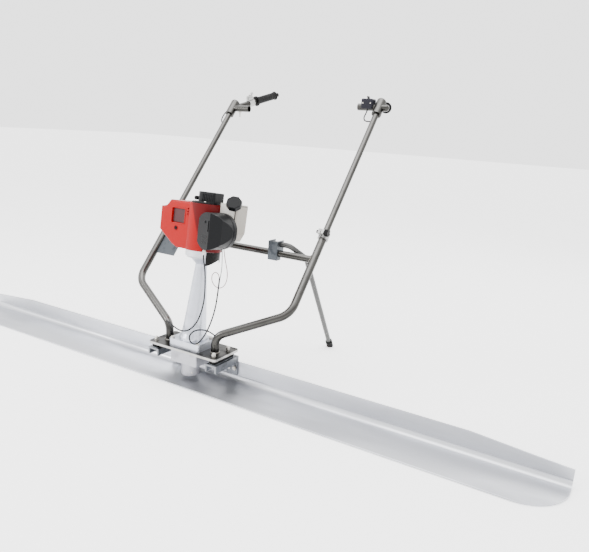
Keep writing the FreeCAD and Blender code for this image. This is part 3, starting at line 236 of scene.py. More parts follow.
def fixed_to(piece, body):
    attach(piece, body)
    return piece


def soft_edges(piece, width, segments=2, angle=35):
    """A small bevel on the piece's sharp edges, with normals kept flat on its faces."""
    bevel = piece.modifiers.new("edges", "BEVEL")
    bevel.width = width
    bevel.segments = segments
    bevel.limit_method = "ANGLE"
    bevel.angle_limit = math.radians(angle)
    bevel.harden_normals = True
    return piece


rubber = Finish("isolator_rubber", Specular_IOR_Level=0.14)
bloom = rubber.step(rubber.noise(60, 4), 0.45, 0.75)
rubber.paint(Base_Color=rubber.mix(bloom, (0.0025, 0.0025, 0.0028), (0.006, 0.006, 0.0058)),
             Roughness=0.6 + 0.2 * bloom, bump=(rubber.noise(900, 3), 0.00005))

isolator_low, isolator_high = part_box("rubber_isolators")
for side, sign in (("left", -1), ("right", 1)):
    outer = isolator_high.x * sign
    inner = outer - sign * BAR_WIDTH
    x0, x1 = min(outer, inner), max(outer, inner)
    rings = []
    for i in range(BAR_RINGS + 1):
        share = i / BAR_RINGS
        height = isolator_low.z + (isolator_high.z - isolator_low.z) * share
        swell = BULGE * math.sin(math.pi * share) ** 0.8 - BULGE
        if i == BAR_RINGS // 2:
            swell += MOULD_LINE
        rings.append([(x, y, height) for x, y in
                      rounded_rectangle(x0 - swell, x1 + swell, isolator_low.y - swell,
                                        isolator_high.y + swell, BAR_CORNER)])
    piece = mesh_piece("isolator_" + side, *stacked(rings), rubber.material)
    fixed_to(piece, "chassis")
    if side == "left":
        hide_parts("rubber_isolators")
    outline = rounded_rectangle(x0, x1, isolator_low.y, isolator_high.y, BAR_CORNER)
    for end, foot in (("low", isolator_low.z), ("high", isolator_high.z - STRIP)):
        faces = [[(x, y, height) for x, y in outline] for height in (foot, foot + STRIP)]
        strip = mesh_piece("isolator_strip_%s_%s" % (side, end), *stacked(faces), bracket_zinc, smooth=False)
        fixed_to(strip, "chassis")


# ---- Base plate, with the welds of the arms' feet
# A thick steel plate with bright cut edges. Its rolled top is painted almost black, as painted
# shade. The two arms stand on it in a ring of fillet weld each, laid by hand in overlapping
# ripples, and domed nuts hold it down.

ARM_RADIUS = 0.014
FOOT_WELD = 0.0026
WELD_PROUD = 0.0008         # from the weld's middle line to the surfaces that it joins
HEAD_HALF = 0.0065          # half the width of a plate bolt's head across its flats
HEAD_REACH = 0.0075         # and across its corners
DOME_RADIUS = 0.0064
DOME_HEIGHT = 0.0062


def circle(radius, height, count, centre=(0, 0)):
    """Points round a level circle."""
    turns = [2 * math.pi * i / count for i in range(count)]
    return [(centre[0] + radius * math.cos(turn), centre[1] + radius * math.sin(turn), height)
            for turn in turns]


def bead(name, points, thickness, material, ripples, closed=True):
    """A weld: a line of solidified ripples along the points."""
    curve = bpy.data.curves.new(name, "CURVE")
    curve.dimensions = "3D"
    curve.bevel_depth = thickness
    curve.bevel_resolution = 3
    spline = curve.splines.new("POLY")
    spline.points.add(len(points) - 1)
    for i, (point, place) in enumerate(zip(spline.points, points)):
        point.co = (*place, 1)
        phase = (i * ripples / len(points)) % 1
        point.radius = 0.82 + 0.26 * (1 - phase) ** 0.6
    spline.use_cyclic_u = closed
    spline.use_smooth = True
    curve.materials.append(material)
    piece = bpy.data.objects.new(name, curve)
    bpy.context.scene.collection.objects.link(piece)
    fixed_to(piece, "chassis")


weld = Finish("weld_metal", Metallic=1.0)
tint = weld.step(weld.noise(90, 3), 0.4, 0.65)
weld.paint(Base_Color=weld.mix(tint, (0.20, 0.19, 0.175), (0.10, 0.088, 0.075)),
           Roughness=0.34 + 0.2 * tint, bump=(weld.noise(650, 4), 0.0001))

plate_metal = Finish("plate_steel", Metallic=1.0)
ground_lines = plate_metal.noise(420, 3, stretch=(0.05, 1, 1))
grime = plate_metal.step(plate_metal.noise(26, 5), 0.47, 0.7)
# Painted shade: faces that point up get the almost black top colour, the others the cut-edge colour.
facing = plate_metal.node("ShaderNodeTexCoord", output="Normal")
upward = plate_metal.node("ShaderNodeSeparateXYZ", inputs={"Vector": facing}, output="Z")
shaded_top_mask = plate_metal.step(upward, 0.6, 0.8)
cut_edge = plate_metal.mix(grime, (0.46, 0.455, 0.44), (0.30, 0.295, 0.28))
shaded_top_colour = plate_metal.mix(grime, (0.020, 0.0185, 0.016), (0.010, 0.009, 0.008))
plate_base = plate_metal.mix(shaded_top_mask, cut_edge, shaded_top_colour)
coat(plate_metal.paint(Base_Color=plate_metal.mix(ground_lines * 0.3, plate_base, (0.035, 0.033, 0.03)),
                       Roughness=0.28 + 0.18 * grime + 0.1 * ground_lines,
                       bump=(ground_lines, 0.00007)), "base_plate")

plate_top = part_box("base_plate")[1].z
foot_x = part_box("lower_arm_right")[0].x + ARM_RADIUS
bolts_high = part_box("plate_bolts")[1]
for side, sign in (("left", -1), ("right", 1)):
    ring = circle(ARM_RADIUS + WELD_PROUD, plate_top + WELD_PROUD, 144, (sign * foot_x, 0))
    bead("foot_weld_" + side, ring, FOOT_WELD, weld.material, 24)
for i, (sx, sy) in enumerate(((-1, -1), (-1, 1), (1, -1), (1, 1))):
    middle = (sx * (bolts_high.x - HEAD_REACH), sy * (bolts_high.y - HEAD_HALF))
    rings = [circle(DOME_RADIUS * share, bolts_high.z + DOME_HEIGHT * math.sqrt(1 - share ** 2), 36, middle)
             for share in (1.0, 0.97, 0.88, 0.72, 0.5, 0.22)]
    fixed_to(mesh_piece("plate_nut_dome_%d" % i, *stacked(rings), bolt_zinc), "chassis")


# ---- Mast and exciter
# Sand-cast aluminium. The mast is linished and sprayed silver, so it is smoother than the
# exciter's housing, which keeps its cast grain. A small screw closes the exciter's grease hole.

def cast(name, colour, dirt, grain, roughness):
    """Cast aluminium: grain of the sand, soft pits and dirt in the low places."""
    finish = Finish(name, Metallic=0.85)
    sand = finish.noise(grain, 5)
    pits = finish.step(finish.noise(grain * 0.45, 2), 0.62, 0.7)
    cloud = finish.step(finish.noise(20, 4), 0.45, 0.72)
    base = finish.mix(cloud * 0.6, colour, dirt)
    return finish.paint(Base_Color=finish.mix(pits * 0.5, base, dirt),
                        Roughness=roughness + 0.14 * sand + 0.1 * cloud,
                        bump=(sand - 0.6 * pits, 0.00022))


mast_silver = cast("mast_alloy", (0.52, 0.54, 0.60), (0.34, 0.36, 0.42), 700, 0.22)
rough_casting = cast("cast_alloy", (0.40, 0.40, 0.43), (0.24, 0.24, 0.26), 420, 0.4)
coat(mast_silver, "mast")
coat(rough_casting, "exciter_housing", "exciter_cover", "crankcase", "cylinder", "carburettor")
coat(cast("clutch_alloy", (0.60, 0.61, 0.64), (0.44, 0.45, 0.47), 600, 0.32), "clutch_housing")


def moved(points, matrix):
    return [matrix @ Vector(point) for point in points]


def towards(place, outward):
    """The frame whose origin is at place and whose Z runs outward."""
    turn = Vector((0, 0, 1)).rotation_difference(Vector(outward))
    return Matrix.Translation(Vector(place)) @ turn.to_matrix().to_4x4()


SCREW_POINTS = 32
SCREW_PROFILE = ((1.02, 0.0), (1.0, 0.2), (0.86, 0.52), (0.66, 0.78), (0.42, 0.93), (0.16, 1.0))
HEAD_RISE = 0.55            # height of a screw's head, as a share of its radius
RECESS_WIDTH = 0.42         # of the cross: the sine of twice the angle to its nearest arm
RECESS_REACH = 0.6          # of the cross: a share of the head's radius
RECESS_DEPTH = 0.35


def cap_screw(name, place, outward, radius, material, body="chassis"):
    """A round-headed screw with a cross recess."""
    rings = []
    for share, height in SCREW_PROFILE:
        ring = []
        for x, y, _ in circle(radius * share, 0, SCREW_POINTS):
            in_cross = abs(2 * x * y) / (x * x + y * y) < RECESS_WIDTH
            sunk = RECESS_DEPTH if share < RECESS_REACH and in_cross else 0
            ring.append((x, y, radius * HEAD_RISE * (height - sunk)))
        rings.append(moved(ring, towards(place, outward)))
    fixed_to(mesh_piece(name, *stacked(rings), material), body)


cap_screw("exciter_filler_screw", (0.0245, -0.0246, 0.033), (0.77, -0.64, 0), 0.0034, bolt_zinc)


# ---- Working parts inside
# Turned and ground steel for shafts, rod and bearings, cast iron for the weight, drum, shoes
# and flywheel, and a machined piston. They are hidden unless a cover is taken off.

def machined(name, colour, rings, roughness):
    """Turned metal with fine tool lines and a film of oil."""
    finish = Finish(name, Metallic=1.0)
    lines = finish.noise(rings, 2, stretch=(0.2, 0.2, 1))
    oil = finish.step(finish.noise(45, 3), 0.4, 0.7)
    dark = tuple(0.6 * c for c in colour)
    return finish.paint(Base_Color=finish.mix(oil * 0.6, colour, dark),
                        Roughness=roughness + 0.15 * lines, bump=(lines, 0.00005))


coat(machined("hard_steel", (0.6, 0.6, 0.61), 900, 0.18),
     "shaft_bearings", "drive_shaft", "crankshaft_halves", "connecting_rod", "starter_reel")
coat(cast("weight_iron", (0.22, 0.22, 0.22), (0.12, 0.1, 0.09), 500, 0.5),
     "eccentric_weight", "clutch_drum", "clutch_shoes", "flywheel")
coat(machined("piston_alloy", (0.76, 0.76, 0.77), 700, 0.22), "piston")


# ---- Engine covers
# Injection-moulded nylon, coloured through. The cylinder's cover is bright red, with a framed
# window, three slots and one deep screw. The fan's shroud is red, painted a deeper red towards +X
# and up, as painted shade.

def moulded(name, colour, dust, gloss, grain, texture, **constants):
    """Moulded plastic with fine skin and a faint haze where it has been handled."""
    finish = Finish(name, **constants)
    skin = finish.noise(grain, 3)
    haze = finish.step(finish.noise(16, 5), 0.5, 0.8)
    return finish.paint(Base_Color=finish.mix(haze * 0.3, colour, dust),
                        Roughness=gloss + 0.12 * haze, bump=(skin, texture))


BRIGHT_RED = (0.27, 0.0012, 0.0018)
SHADE_RED = (0.085, 0.0008, 0.0016)
red_nylon = moulded("red_plastic", BRIGHT_RED, (0.22, 0.0016, 0.0022), 0.32, 260, 0.00005,
                    Specular_IOR_Level=0.16)
# Painted shade: a darker red for the recess round the cover screw.
recess_shade_red = moulded("dark_red_plastic", SHADE_RED, (0.06, 0.0008, 0.0014), 0.36, 260, 0.00005,
                         Specular_IOR_Level=0.15)
black_nylon = moulded("black_plastic", (0.0020, 0.0023, 0.0030), (0.0045, 0.0050, 0.0060), 0.42, 850,
                      0.00007, Specular_IOR_Level=0.14)
coat(red_nylon, "cylinder_cover")

shroud_red = Finish("shroud_red", Roughness=0.36, Specular_IOR_Level=0.15)
where = shroud_red.place()
across = shroud_red.node("ShaderNodeSeparateXYZ", inputs={"Vector": where}, output="X")
tall = shroud_red.node("ShaderNodeSeparateXYZ", inputs={"Vector": where}, output="Z")
# Painted shade: beyond a slanting line towards +X and up, the shroud is painted a deeper red.
shaded_shroud_mask = shroud_red.step(across + 0.333 * tall, 0.191, 0.199)
coat(shroud_red.paint(Base_Color=shroud_red.mix(shaded_shroud_mask, (0.25, 0.0012, 0.0018), SHADE_RED),
                      bump=(shroud_red.noise(260, 3), 0.00005)), "fan_cover")

joints = {joint["name"]: joint for joint in frame["joints"]}
MAST_HEIGHT = 0.322
axis = Vector(joints["drive_spin"]["axis"])
engine = towards(Vector(joints["drive_spin"]["pos_m"]) + axis * MAST_HEIGHT, axis)


COVER_FRONT = -0.060        # Y of the cover's face, in the engine's own frame


def raised_rim(name, x0, x1, z0, z1, depth, width):
    """A moulded rim round a rectangle in the cover's face."""
    profile = ((0, 0, 0.005), (0, 0.7, 0.005), (0.25, 1, 0.005),
               (0.75, 1, 0.004), (1, 0.7, 0.004), (1, 0, 0.004))
    vertices = []
    for inward, rise, corner in profile:
        inset = width * inward
        outline = rounded_rectangle(x0 + inset, x1 - inset, z0 + inset, z1 - inset, corner)
        vertices += moved([(x, COVER_FRONT - depth * rise, z) for x, z in outline], engine)
    count = len(outline)
    faces = []
    for level in range(len(profile)):
        this = level * count
        following = (level + 1) % len(profile) * count
        for i in range(count):
            j = (i + 1) % count
            faces.append((this + i, this + j, following + j, following + i))
    fixed_to(mesh_piece(name, vertices, faces, red_nylon), "chassis")


WINDOW_LEFT, WINDOW_RIGHT = -0.103, -0.041
WINDOW_LOW, WINDOW_HIGH = 0.099, 0.155
WINDOW_REVEAL = 0.005       # from the rim's outside to the plate in the window
PLATE_FACE = -0.0546
PLATE_BACK = -0.0531
raised_rim("cover_window_rim", WINDOW_LEFT, WINDOW_RIGHT, WINDOW_LOW, WINDOW_HIGH, 0.0014, 0.003)
backdrop = Finish("window_plate", Metallic=0.3)
brushed_plate = backdrop.noise(600, 2, stretch=(0.03, 1, 1))
backdrop.paint(Base_Color=backdrop.mix(brushed_plate, (0.022, 0.0015, 0.003), (0.045, 0.003, 0.005)),
               Roughness=0.34 + 0.15 * brushed_plate, bump=(brushed_plate, 0.00004))
outline = rounded_rectangle(WINDOW_LEFT + WINDOW_REVEAL, WINDOW_RIGHT - WINDOW_REVEAL,
                            WINDOW_LOW + WINDOW_REVEAL, WINDOW_HIGH - WINDOW_REVEAL, 0.004)
rings = [moved([(x, y, z) for x, z in outline], engine) for y in (PLATE_BACK, PLATE_FACE)]
window_plate = mesh_piece("cover_window_plate", *stacked(rings), backdrop.material, smooth=False)
fixed_to(soft_edges(window_plate, 0.0005), "chassis")

SLOT_LEFT, SLOT_RIGHT = -0.0365, -0.0135
SLOT_HALF = 0.0042
for i in range(3):
    z = 0.1365 + 0.009 * i
    raised_rim("cover_slot_rim_%d" % i, SLOT_LEFT, SLOT_RIGHT, z - SLOT_HALF, z + SLOT_HALF, 0.001, 0.0017)

engine_front = engine.to_3x3() @ Vector((0, -1, 0))
engine_up = engine.to_3x3() @ Vector((0, 0, 1))
dark_screw = plated("screw_black", (0.012, 0.012, 0.013), (0.008, 0.008, 0.008), 0.4)
# The ring round the cover screw is painted the darker red, as painted shade in its recess.
WELL_X, WELL_Z = -0.078, 0.084
rings = []
for radius, proud in ((0.0076, 0), (0.0074, 0.0012), (0.0066, 0.0016), (0.0058, 0.0012), (0.0054, 0.0002)):
    ring = [(WELL_X + x, COVER_FRONT - proud, WELL_Z + z) for x, z, _ in circle(radius, 0, 36)]
    rings.append(moved(ring, engine))
fixed_to(mesh_piece("cover_screw_well", *stacked(rings), recess_shade_red), "chassis")
cap_screw("cover_screw", engine @ Vector((WELL_X, COVER_FRONT, WELL_Z)), engine_front, 0.0045, dark_screw)


# ---- Recoil starter
# A black nylon housing held by four screws over the flywheel. A round boss covers the reel, its
# nose on the tank's side is ribbed in front, and the rope comes out to a T-shaped grip.

SCREW_CIRCLE = 0.047
FLANGE_TOP = 0.184          # height of the housing's flange above the engine's base
NOSE_RIBS = 7
RIB_PITCH = 0.0068
RIB_HALF = 0.0011
coat(black_nylon, "recoil_cover", "air_cleaner_cover")
coat(moulded("grip_plastic", (0.0022, 0.0022, 0.0026), (0.005, 0.005, 0.005), 0.4, 900, 0.00006,
             Specular_IOR_Level=0.14), "pull_grip")
for i, turn in enumerate((62, 118, 242, 298)):
    angle = math.radians(turn)
    place = engine @ Vector((SCREW_CIRCLE * math.cos(angle), SCREW_CIRCLE * math.sin(angle), FLANGE_TOP))
    cap_screw("starter_screw_%d" % i, place, engine_up, 0.0042, bolt_zinc)
for i in range(NOSE_RIBS):
    x = 0.002 + RIB_PITCH * i
    rings = []
    for y, shrink in ((-0.0312, 1.0), (-0.0330, 1.0), (-0.0336, 0.6)):
        outline = rounded_rectangle(x - RIB_HALF * shrink, x + RIB_HALF * shrink, 0.187, 0.211, 0.0006, 2)
        rings.append(moved([(u, y, v) for u, v in outline], engine))
    fixed_to(mesh_piece("starter_rib_%d" % i, *stacked(rings), black_nylon), "chassis")


# ---- Air cleaner
# A snap-on cover of black nylon, moulded in facets, with a seam round its base, shallow ribs on
# its lower slope and one long screw with a plastic head.

def seam(name, points, thickness, material, body="chassis", closed=False):
    """A thin moulded seam or rib along a line of points."""
    curve = bpy.data.curves.new(name, "CURVE")
    curve.dimensions = "3D"
    curve.bevel_depth = thickness
    curve.bevel_resolution = 3
    curve.use_fill_caps = True
    spline = curve.splines.new("POLY")
    spline.points.add(len(points) - 1)
    for point, place in zip(spline.points, points):
        point.co = (*place, 1)
    spline.use_cyclic_u = closed
    curve.materials.append(material)
    piece = bpy.data.objects.new(name, curve)
    bpy.context.scene.collection.objects.link(piece)
    return fixed_to(piece, body)


FACET_START = Vector((0.040, -0.088, 0))        # corners of the slanting front facet, in plan
FACET_END = Vector((0.104, -0.113, 0))
facet = FACET_END - FACET_START
for i in range(4):
    run = [FACET_START + facet * share + Vector((0, 0, 0.056 + 0.007 * i)) for share in (0.34375, 0.84375)]
    seam("cleaner_rib_%d" % i, moved(run, engine), 0.0008, black_nylon)
CLEANER_X, CLEANER_Z = 0.088, 0.095             # middle of the round front
SEAM_RADIUS = 0.0612
SEAM_Y = -0.036
belt = []
for i in range(61):
    angle = math.radians(-100 + 200 * i / 60)
    x, z = SEAM_RADIUS * math.cos(angle), SEAM_RADIUS * math.sin(angle)
    belt.append((CLEANER_X + x, SEAM_Y, CLEANER_Z + z))
seam("cleaner_seam", moved(belt, engine), 0.0009, black_nylon)
cap_screw("cleaner_screw", engine @ Vector((0.0775, -0.1028, 0.1235)),
          engine.to_3x3() @ Vector((-0.364, -0.931, 0)), 0.0050, black_nylon)


# ---- Shade sheet under the engine
# A curved black sheet under the engine, on the tank's side of the clutch, standing in as painted
# shade for the clutch housing's shaded side. Its lower edge is cut in a shallow curve.

# Painted shade: this black sheet stands where the clutch housing's right side lies in shadow.
shade_sheet_paint = Finish("shade_sheet_paint", Specular_IOR_Level=0.12)
worn_paint = shade_sheet_paint.step(shade_sheet_paint.noise(60, 4), 0.5, 0.8)
shade_sheet_paint.paint(Base_Color=shade_sheet_paint.mix(worn_paint, (0.0022, 0.0028, 0.0025), (0.006, 0.0066, 0.0062)),
                  Roughness=0.42 + 0.15 * worn_paint, bump=(shade_sheet_paint.noise(500, 3), 0.00005))
SHEET_STEPS = 40
SHEET_INSIDE, SHEET_OUTSIDE = 0.0592, 0.0616
SHEET_TOP = 0.0165
SHEET_LOWEST = -0.030
sections = []
for i in range(SHEET_STEPS + 1):
    share = i / SHEET_STEPS
    angle = math.radians(-40 + 84 * share)
    hollow = 0.020 * math.sin(math.pi * min(share / 1.5, 1)) ** 1.5
    lower = SHEET_LOWEST + hollow - 0.032 * max(share - 0.75, 0)
    sections.append([(r * math.cos(angle), r * math.sin(angle), z)
                     for r, z in ((SHEET_INSIDE, lower), (SHEET_OUTSIDE, lower),
                                  (SHEET_OUTSIDE, SHEET_TOP), (SHEET_INSIDE, SHEET_TOP))])
shade_sheet_object = mesh_piece("shade_sheet", *stacked([moved(section, engine) for section in sections]),
                   shade_sheet_paint.material)
fixed_to(soft_edges(shade_sheet_object, 0.0006), "chassis")


# ---- Fuel tank and cap
# Blow-moulded polyethylene, cream white and waxy. Faces that point towards +X are painted
# darker, as painted shade. The screw cap is black nylon, eight-sided for the hand.

milky = Finish("white_plastic", Specular_IOR_Level=0.4)
clouding = milky.noise(22, 4)
facing = milky.node("ShaderNodeTexCoord", output="Normal")
sideways = milky.node("ShaderNodeSeparateXYZ", inputs={"Vector": facing}, output="X")
# Painted shade: faces pointing towards +X get the darker cream.
shaded_side_mask = milky.step(sideways, 0.1, 0.9)
pale = milky.mix(clouding, (0.46, 0.445, 0.41), (0.52, 0.505, 0.47))
coat(milky.paint(Base_Color=milky.mix(shaded_side_mask, pale, (0.24, 0.222, 0.195)),
                 Roughness=0.4 + 0.12 * clouding, bump=(milky.noise(160, 3), 0.00012)), "fuel_tank")
coat(black_nylon, "fuel_cap")


# ---- Muffler and spark plug
# The muffler is two pressed steel shells, rolled together at a seam and sprayed with
# heat-proof black that greys with use. The plug has a moulded rubber cap.

sooty = Finish("muffler_steel", Metallic=0.35)
burnt = sooty.step(sooty.noise(32, 5), 0.42, 0.7)
coat(sooty.paint(Base_Color=sooty.mix(burnt, (0.035, 0.034, 0.033), (0.12, 0.09, 0.07)),
                 Roughness=0.55 + 0.2 * burnt, bump=(sooty.noise(520, 4), 0.00014)), "muffler")
coat(rubber.material, "spark_plug")
outline = rounded_rectangle(-0.0872, 0.0012, 0.0348, 0.1252, 0.013, 10)
seam("muffler_seam", moved([(x, 0.091, z) for x, z in outline], engine), 0.0017, sooty.material,
     closed=True)


# ---- Arms and crossbar
# Drawn stainless tube, bent cold and polished. The polish leaves fine lines along each tube, and
# the grey is darker in soft random patches. Faces that point up are painted lighter and those that
# point down darker, as painted light and shade. The lower arms are welded to plate, crossbar and
# corner plate.

def polished_tube(name, turn):
    finish = Finish(name, Metallic=1.0, Anisotropic=0.3)
    lines = finish.noise(800, 3, stretch=(1, 1, 0.02), turn=turn)
    bands = finish.step(finish.noise(9, 4), 0.42, 0.7)
    film = finish.step(finish.noise(55, 4), 0.55, 0.8)
    base = finish.mix(bands, (0.050, 0.049, 0.046), (0.034, 0.033, 0.031))
    # Painted light and shade: upward faces get the lighter grey, downward faces the darker.
    facing = finish.node("ShaderNodeTexCoord", output="Normal")
    height = finish.node("ShaderNodeSeparateXYZ", inputs={"Vector": facing}, output="Z")
    lit = finish.step(height, 0.25, 0.75)
    shaded = finish.mix(lit, base, (0.125, 0.122, 0.117))
    return finish.paint(Base_Color=finish.mix(film * 0.5, shaded, (0.030, 0.029, 0.028)),
                        Roughness=0.2 + 0.1 * lines + 0.16 * film, bump=(lines, 0.00004))


ARM_LEAN = math.atan2(joints["left_handle_slide"]["axis"][1], joints["left_handle_slide"]["axis"][2])
leaning_tube = polished_tube("tube_steel", (ARM_LEAN, 0, 0))
cross_tube = polished_tube("crossbar_steel", (0, math.pi / 2, 0))
coat(leaning_tube, "lower_arm_left", "lower_arm_right", "upper_tube_left", "upper_tube_right",
     "handlebar_left", "handlebar_right")
coat(cross_tube, "crossbar")
coat(plated("corner_steel", (0.085, 0.094, 0.104), (0.05, 0.056, 0.064), 0.36),
     "corner_plate", "stand_bracket")

bar_low, bar_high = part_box("crossbar")
bar_centre = Vector((0, (bar_low.y + bar_high.y) / 2, (bar_low.z + bar_high.z) / 2))
bar_radius = (bar_high.z - bar_low.z) / 2
arm_x = abs(joints["left_clamp_swivel"]["pos_m"][0])
arm_along = Vector(joints["left_handle_slide"]["axis"])
arm_across = Vector((0, -arm_along.z, arm_along.y))
BAR_WELD_PROUD = 0.0006
SADDLE_PROUD = 0.0004
for side, sign in (("left", -1), ("right", 1)):
    saddle = []
    for across, along, _ in circle(1, 0, 120):
        reach = math.sqrt(ARM_RADIUS ** 2 - (bar_radius * across) ** 2)
        place = bar_centre + (bar_radius + BAR_WELD_PROUD) * (across * arm_across + along * arm_along)
        saddle.append((sign * (arm_x - reach - SADDLE_PROUD), place.y, place.z))
    bead("crossbar_weld_" + side, saddle, 0.0022, weld.material, 22)
corner_low, corner_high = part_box("corner_plate")
CORNER_WELD_POINTS = 60
CORNER_HALF = 0.0022        # from the corner plate's middle to its welds
for name, sign in (("top", -1), ("under", 1)):
    place = bar_centre - arm_along * (bar_radius + 0.0002) + arm_across * (sign * CORNER_HALF)
    start = corner_low.x + 0.004
    step = (corner_high.x - 0.002 - start) / (CORNER_WELD_POINTS - 1)
    run = [(start + step * i, place.y, place.z) for i in range(CORNER_WELD_POINTS)]
    bead("corner_weld_" + name, run, 0.0016, weld.material, 12, closed=False)


# ---- Clamp collars and knobs
# Cast alloy collars, split on one side and drawn together by a bolt with a moulded knob. They
# hold the telescopic tubes at the chosen length.

collar_alloy = cast("collar_alloy", (0.40, 0.40, 0.395), (0.25, 0.245, 0.235), 480, 0.34)
knob_plastic = moulded("knob_plastic", (0.0026, 0.0026, 0.003), (0.007, 0.007, 0.0068), 0.4, 700,
                       0.00008, Specular_IOR_Level=0.14)
coat(collar_alloy, "clamp_collar_left", "clamp_collar_right")
coat(knob_plastic, "clamp_knob_left", "clamp_knob_right")


# ---- Stand
# A bent tube in dark paint that hinges in a folded bracket on the crossbar, with a moulded
# rubber shoe on its end.

dark_paint = Finish("stand_steel", Metallic=0.6, Coat_Weight=0.3, Coat_Roughness=0.2)
chips = dark_paint.step(dark_paint.noise(140, 4), 0.66, 0.7)
faded = dark_paint.noise(24, 4)
sound_paint = dark_paint.mix(faded, (0.035, 0.035, 0.035), (0.055, 0.055, 0.053))
coat(dark_paint.paint(Base_Color=dark_paint.mix(chips, sound_paint, (0.2, 0.195, 0.185)),
                      Roughness=0.34 + 0.15 * faded,
                      bump=(dark_paint.noise(300, 3) - chips, 0.00006)), "stand_leg")
coat(rubber.material, "stand_foot")


# ---- Handles and grips
# Tube ends with a welded cross stub and a bar for the hand. The grips are ribbed rubber pushed
# on to the bars, with a wide flange next to the thumb. A small bolt stands under the left stub.

grip_rubber = Finish("grip_rubber", Specular_IOR_Level=0.16)
hand_shine = grip_rubber.step(grip_rubber.noise(48, 4), 0.46, 0.72)
grip_colour = grip_rubber.mix(hand_shine, (0.003, 0.003, 0.0034), (0.008, 0.008, 0.0078))
coat(grip_rubber.paint(Base_Color=grip_colour, Roughness=0.6 - 0.18 * hand_shine,
                       bump=(grip_rubber.cells(620), 0.00012)), "grip_left", "grip_right")

STUB_UNDERSIDE = (-0.300, 0.6541, 0.9462)
bolt_frame = Matrix.Translation(STUB_UNDERSIDE) @ Matrix.Rotation(math.pi, 4, "X")
NUT_HALF = 0.005            # half the nut's width across its flats
SHANK = 0.003
rings = []
for height in (0.0, 0.005):
    nut = []
    for x, y, _ in circle(NUT_HALF, height, 36):
        angle = math.atan2(y, x)
        flat = math.cos((angle + math.pi / 6) % (math.pi / 3) - math.pi / 6)
        nut.append((x / flat, y / flat, height))
    rings.append(moved(nut, bolt_frame))
for radius, height in ((SHANK, 0.0052), (SHANK, 0.0215), (0.0022, 0.0225)):
    rings.append(moved(circle(radius, height, 36), bolt_frame))
fixed_to(mesh_piece("stub_bolt", *stacked(rings), bolt_zinc, smooth=False), "left_handle")


# ---- Throttle lever
# A cast clamp round the left bar, with a cast thumb lever that turns on its top. Both are of the
# same alloy as the collars.

coat(collar_alloy, "throttle_clamp", "throttle_lever")


# ---- Stop switch
# A two-part box of dark plastic saddled on the right stub, with a rocker on top. One screw on
# each side draws the halves together.

coat(moulded("switch_plastic", (0.0065, 0.006, 0.011), (0.012, 0.011, 0.018), 0.38, 800, 0.00008,
             Specular_IOR_Level=0.16), "switch_box")
coat(knob_plastic, "switch_toggle")
switch_low, switch_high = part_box("switch_box")
SCREW_INSET = 0.008
for name, x in (("inner", switch_low.x + SCREW_INSET), ("outer", switch_high.x - SCREW_INSET)):
    place = Vector((x, switch_low.y, (switch_low.z + switch_high.z) / 2 + 0.002))
    cap_screw("switch_screw_" + name, place, (0, -1, 0), 0.0028, bolt_zinc, "right_handle")


# ---- Throttle cable and its lead
# A steel inner wire in a black lined sleeve. It leaves the left arm, hangs round the mast's foot
# and rises to the air cleaner, where an adjuster barrel and a lock nut hold its end.

def sheathed(name, colour, worn):
    finish = Finish(name, Specular_IOR_Level=0.18)
    lay = finish.noise(650, 2)
    rubbed = finish.step(finish.noise(70, 4), 0.5, 0.75)
    return finish.paint(Base_Color=finish.mix(rubbed, colour, worn),
                        Roughness=0.38 + 0.18 * rubbed, bump=(lay, 0.00005))


cable_black = sheathed("cable_black", (0.0026, 0.0030, 0.0045), (0.007, 0.0075, 0.009))
wire_green = sheathed("wire_green", (0.003, 0.032, 0.016), (0.006, 0.045, 0.022))
wire_red = sheathed("wire_red", (0.075, 0.006, 0.006), (0.10, 0.014, 0.012))
CABLE = 0.005
WIRE = 0.0026


def cord_piece(node, route, diameter, material, body):
    """A cord along its route, as one smooth spline, in place of its CAD solid."""
    points = [Vector(point) / 1000 for point in route]
    curve = bpy.data.curves.new(node + "_cord", "CURVE")
    curve.dimensions = "3D"
    curve.bevel_depth = diameter / 2
    curve.bevel_resolution = 5
    curve.resolution_u = 24
    curve.use_fill_caps = True
    spline = curve.splines.new("NURBS")
    spline.points.add(len(points) - 1)
    for point, place in zip(spline.points, points):
        point.co = (*place, 1)
    spline.order_u = 3
    spline.use_endpoint_u = True
    curve.materials.append(material)
    piece = bpy.data.objects.new(node + "_cord", curve)
    bpy.context.scene.collection.objects.link(piece)
    fixed_to(piece, body)
    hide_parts(node)
    line = curve.copy()
    line.bevel_depth = 0
    bare = bpy.data.objects.new(node + "_line", line)
    traced = bpy.data.meshes.new_from_object(bare)
    bpy.data.objects.remove(bare)
    bpy.data.meshes.remove(traced)
    bpy.data.curves.remove(line)


throttle_route = [(82, -47, 489.5), (68, -38, 462), (61, -20, 428), (62, -15, 392), (65, -18, 343),
                  (67, -24, 300), (59, -33, 251), (42, -41, 214), (14, -46, 191), (-18, -43, 185),
                  (-46, -35, 187), (-72, -25, 190), (-94, -14, 191.5), (-112.2, -5.6, 189.6)]
cord_piece("throttle_cable", throttle_route, CABLE, cable_black, "chassis")
cable_start = Vector(throttle_route[0])
barrel_frame = towards(cable_start / 1000, Vector(throttle_route[1]) - cable_start)
rings = []
for radius, along in ((0.0036, 0.003), (0.0036, 0.007), (0.0056, 0.0072), (0.0056, 0.0112), (0.0036, 0.0114),
                      (0.0036, 0.0135), (0.0046, 0.014), (0.0046, 0.022), (0.0040, 0.023)):
    rings.append(moved(circle(radius, along, 30), barrel_frame))
fixed_to(mesh_piece("throttle_adjuster", *stacked(rings), bolt_zinc), "chassis")
throttle_lead_route = [(-351, 598, 893), (-363, 604, 902), (-370, 622, 920), (-371, 647, 943),
                       (-364, 675, 962), (-349, 705, 975), (-328.4, 742.6, 986.6)]
cord_piece("throttle_lead", throttle_lead_route, CABLE, cable_black, "left_handle")


# ---- Switch cable, its two wires and the lead
# A soft two-core cable from the stop switch. It leaves the right arm, loops over the mast's foot
# and rises beside the mast, where its green and red cores part and go up to the engine.

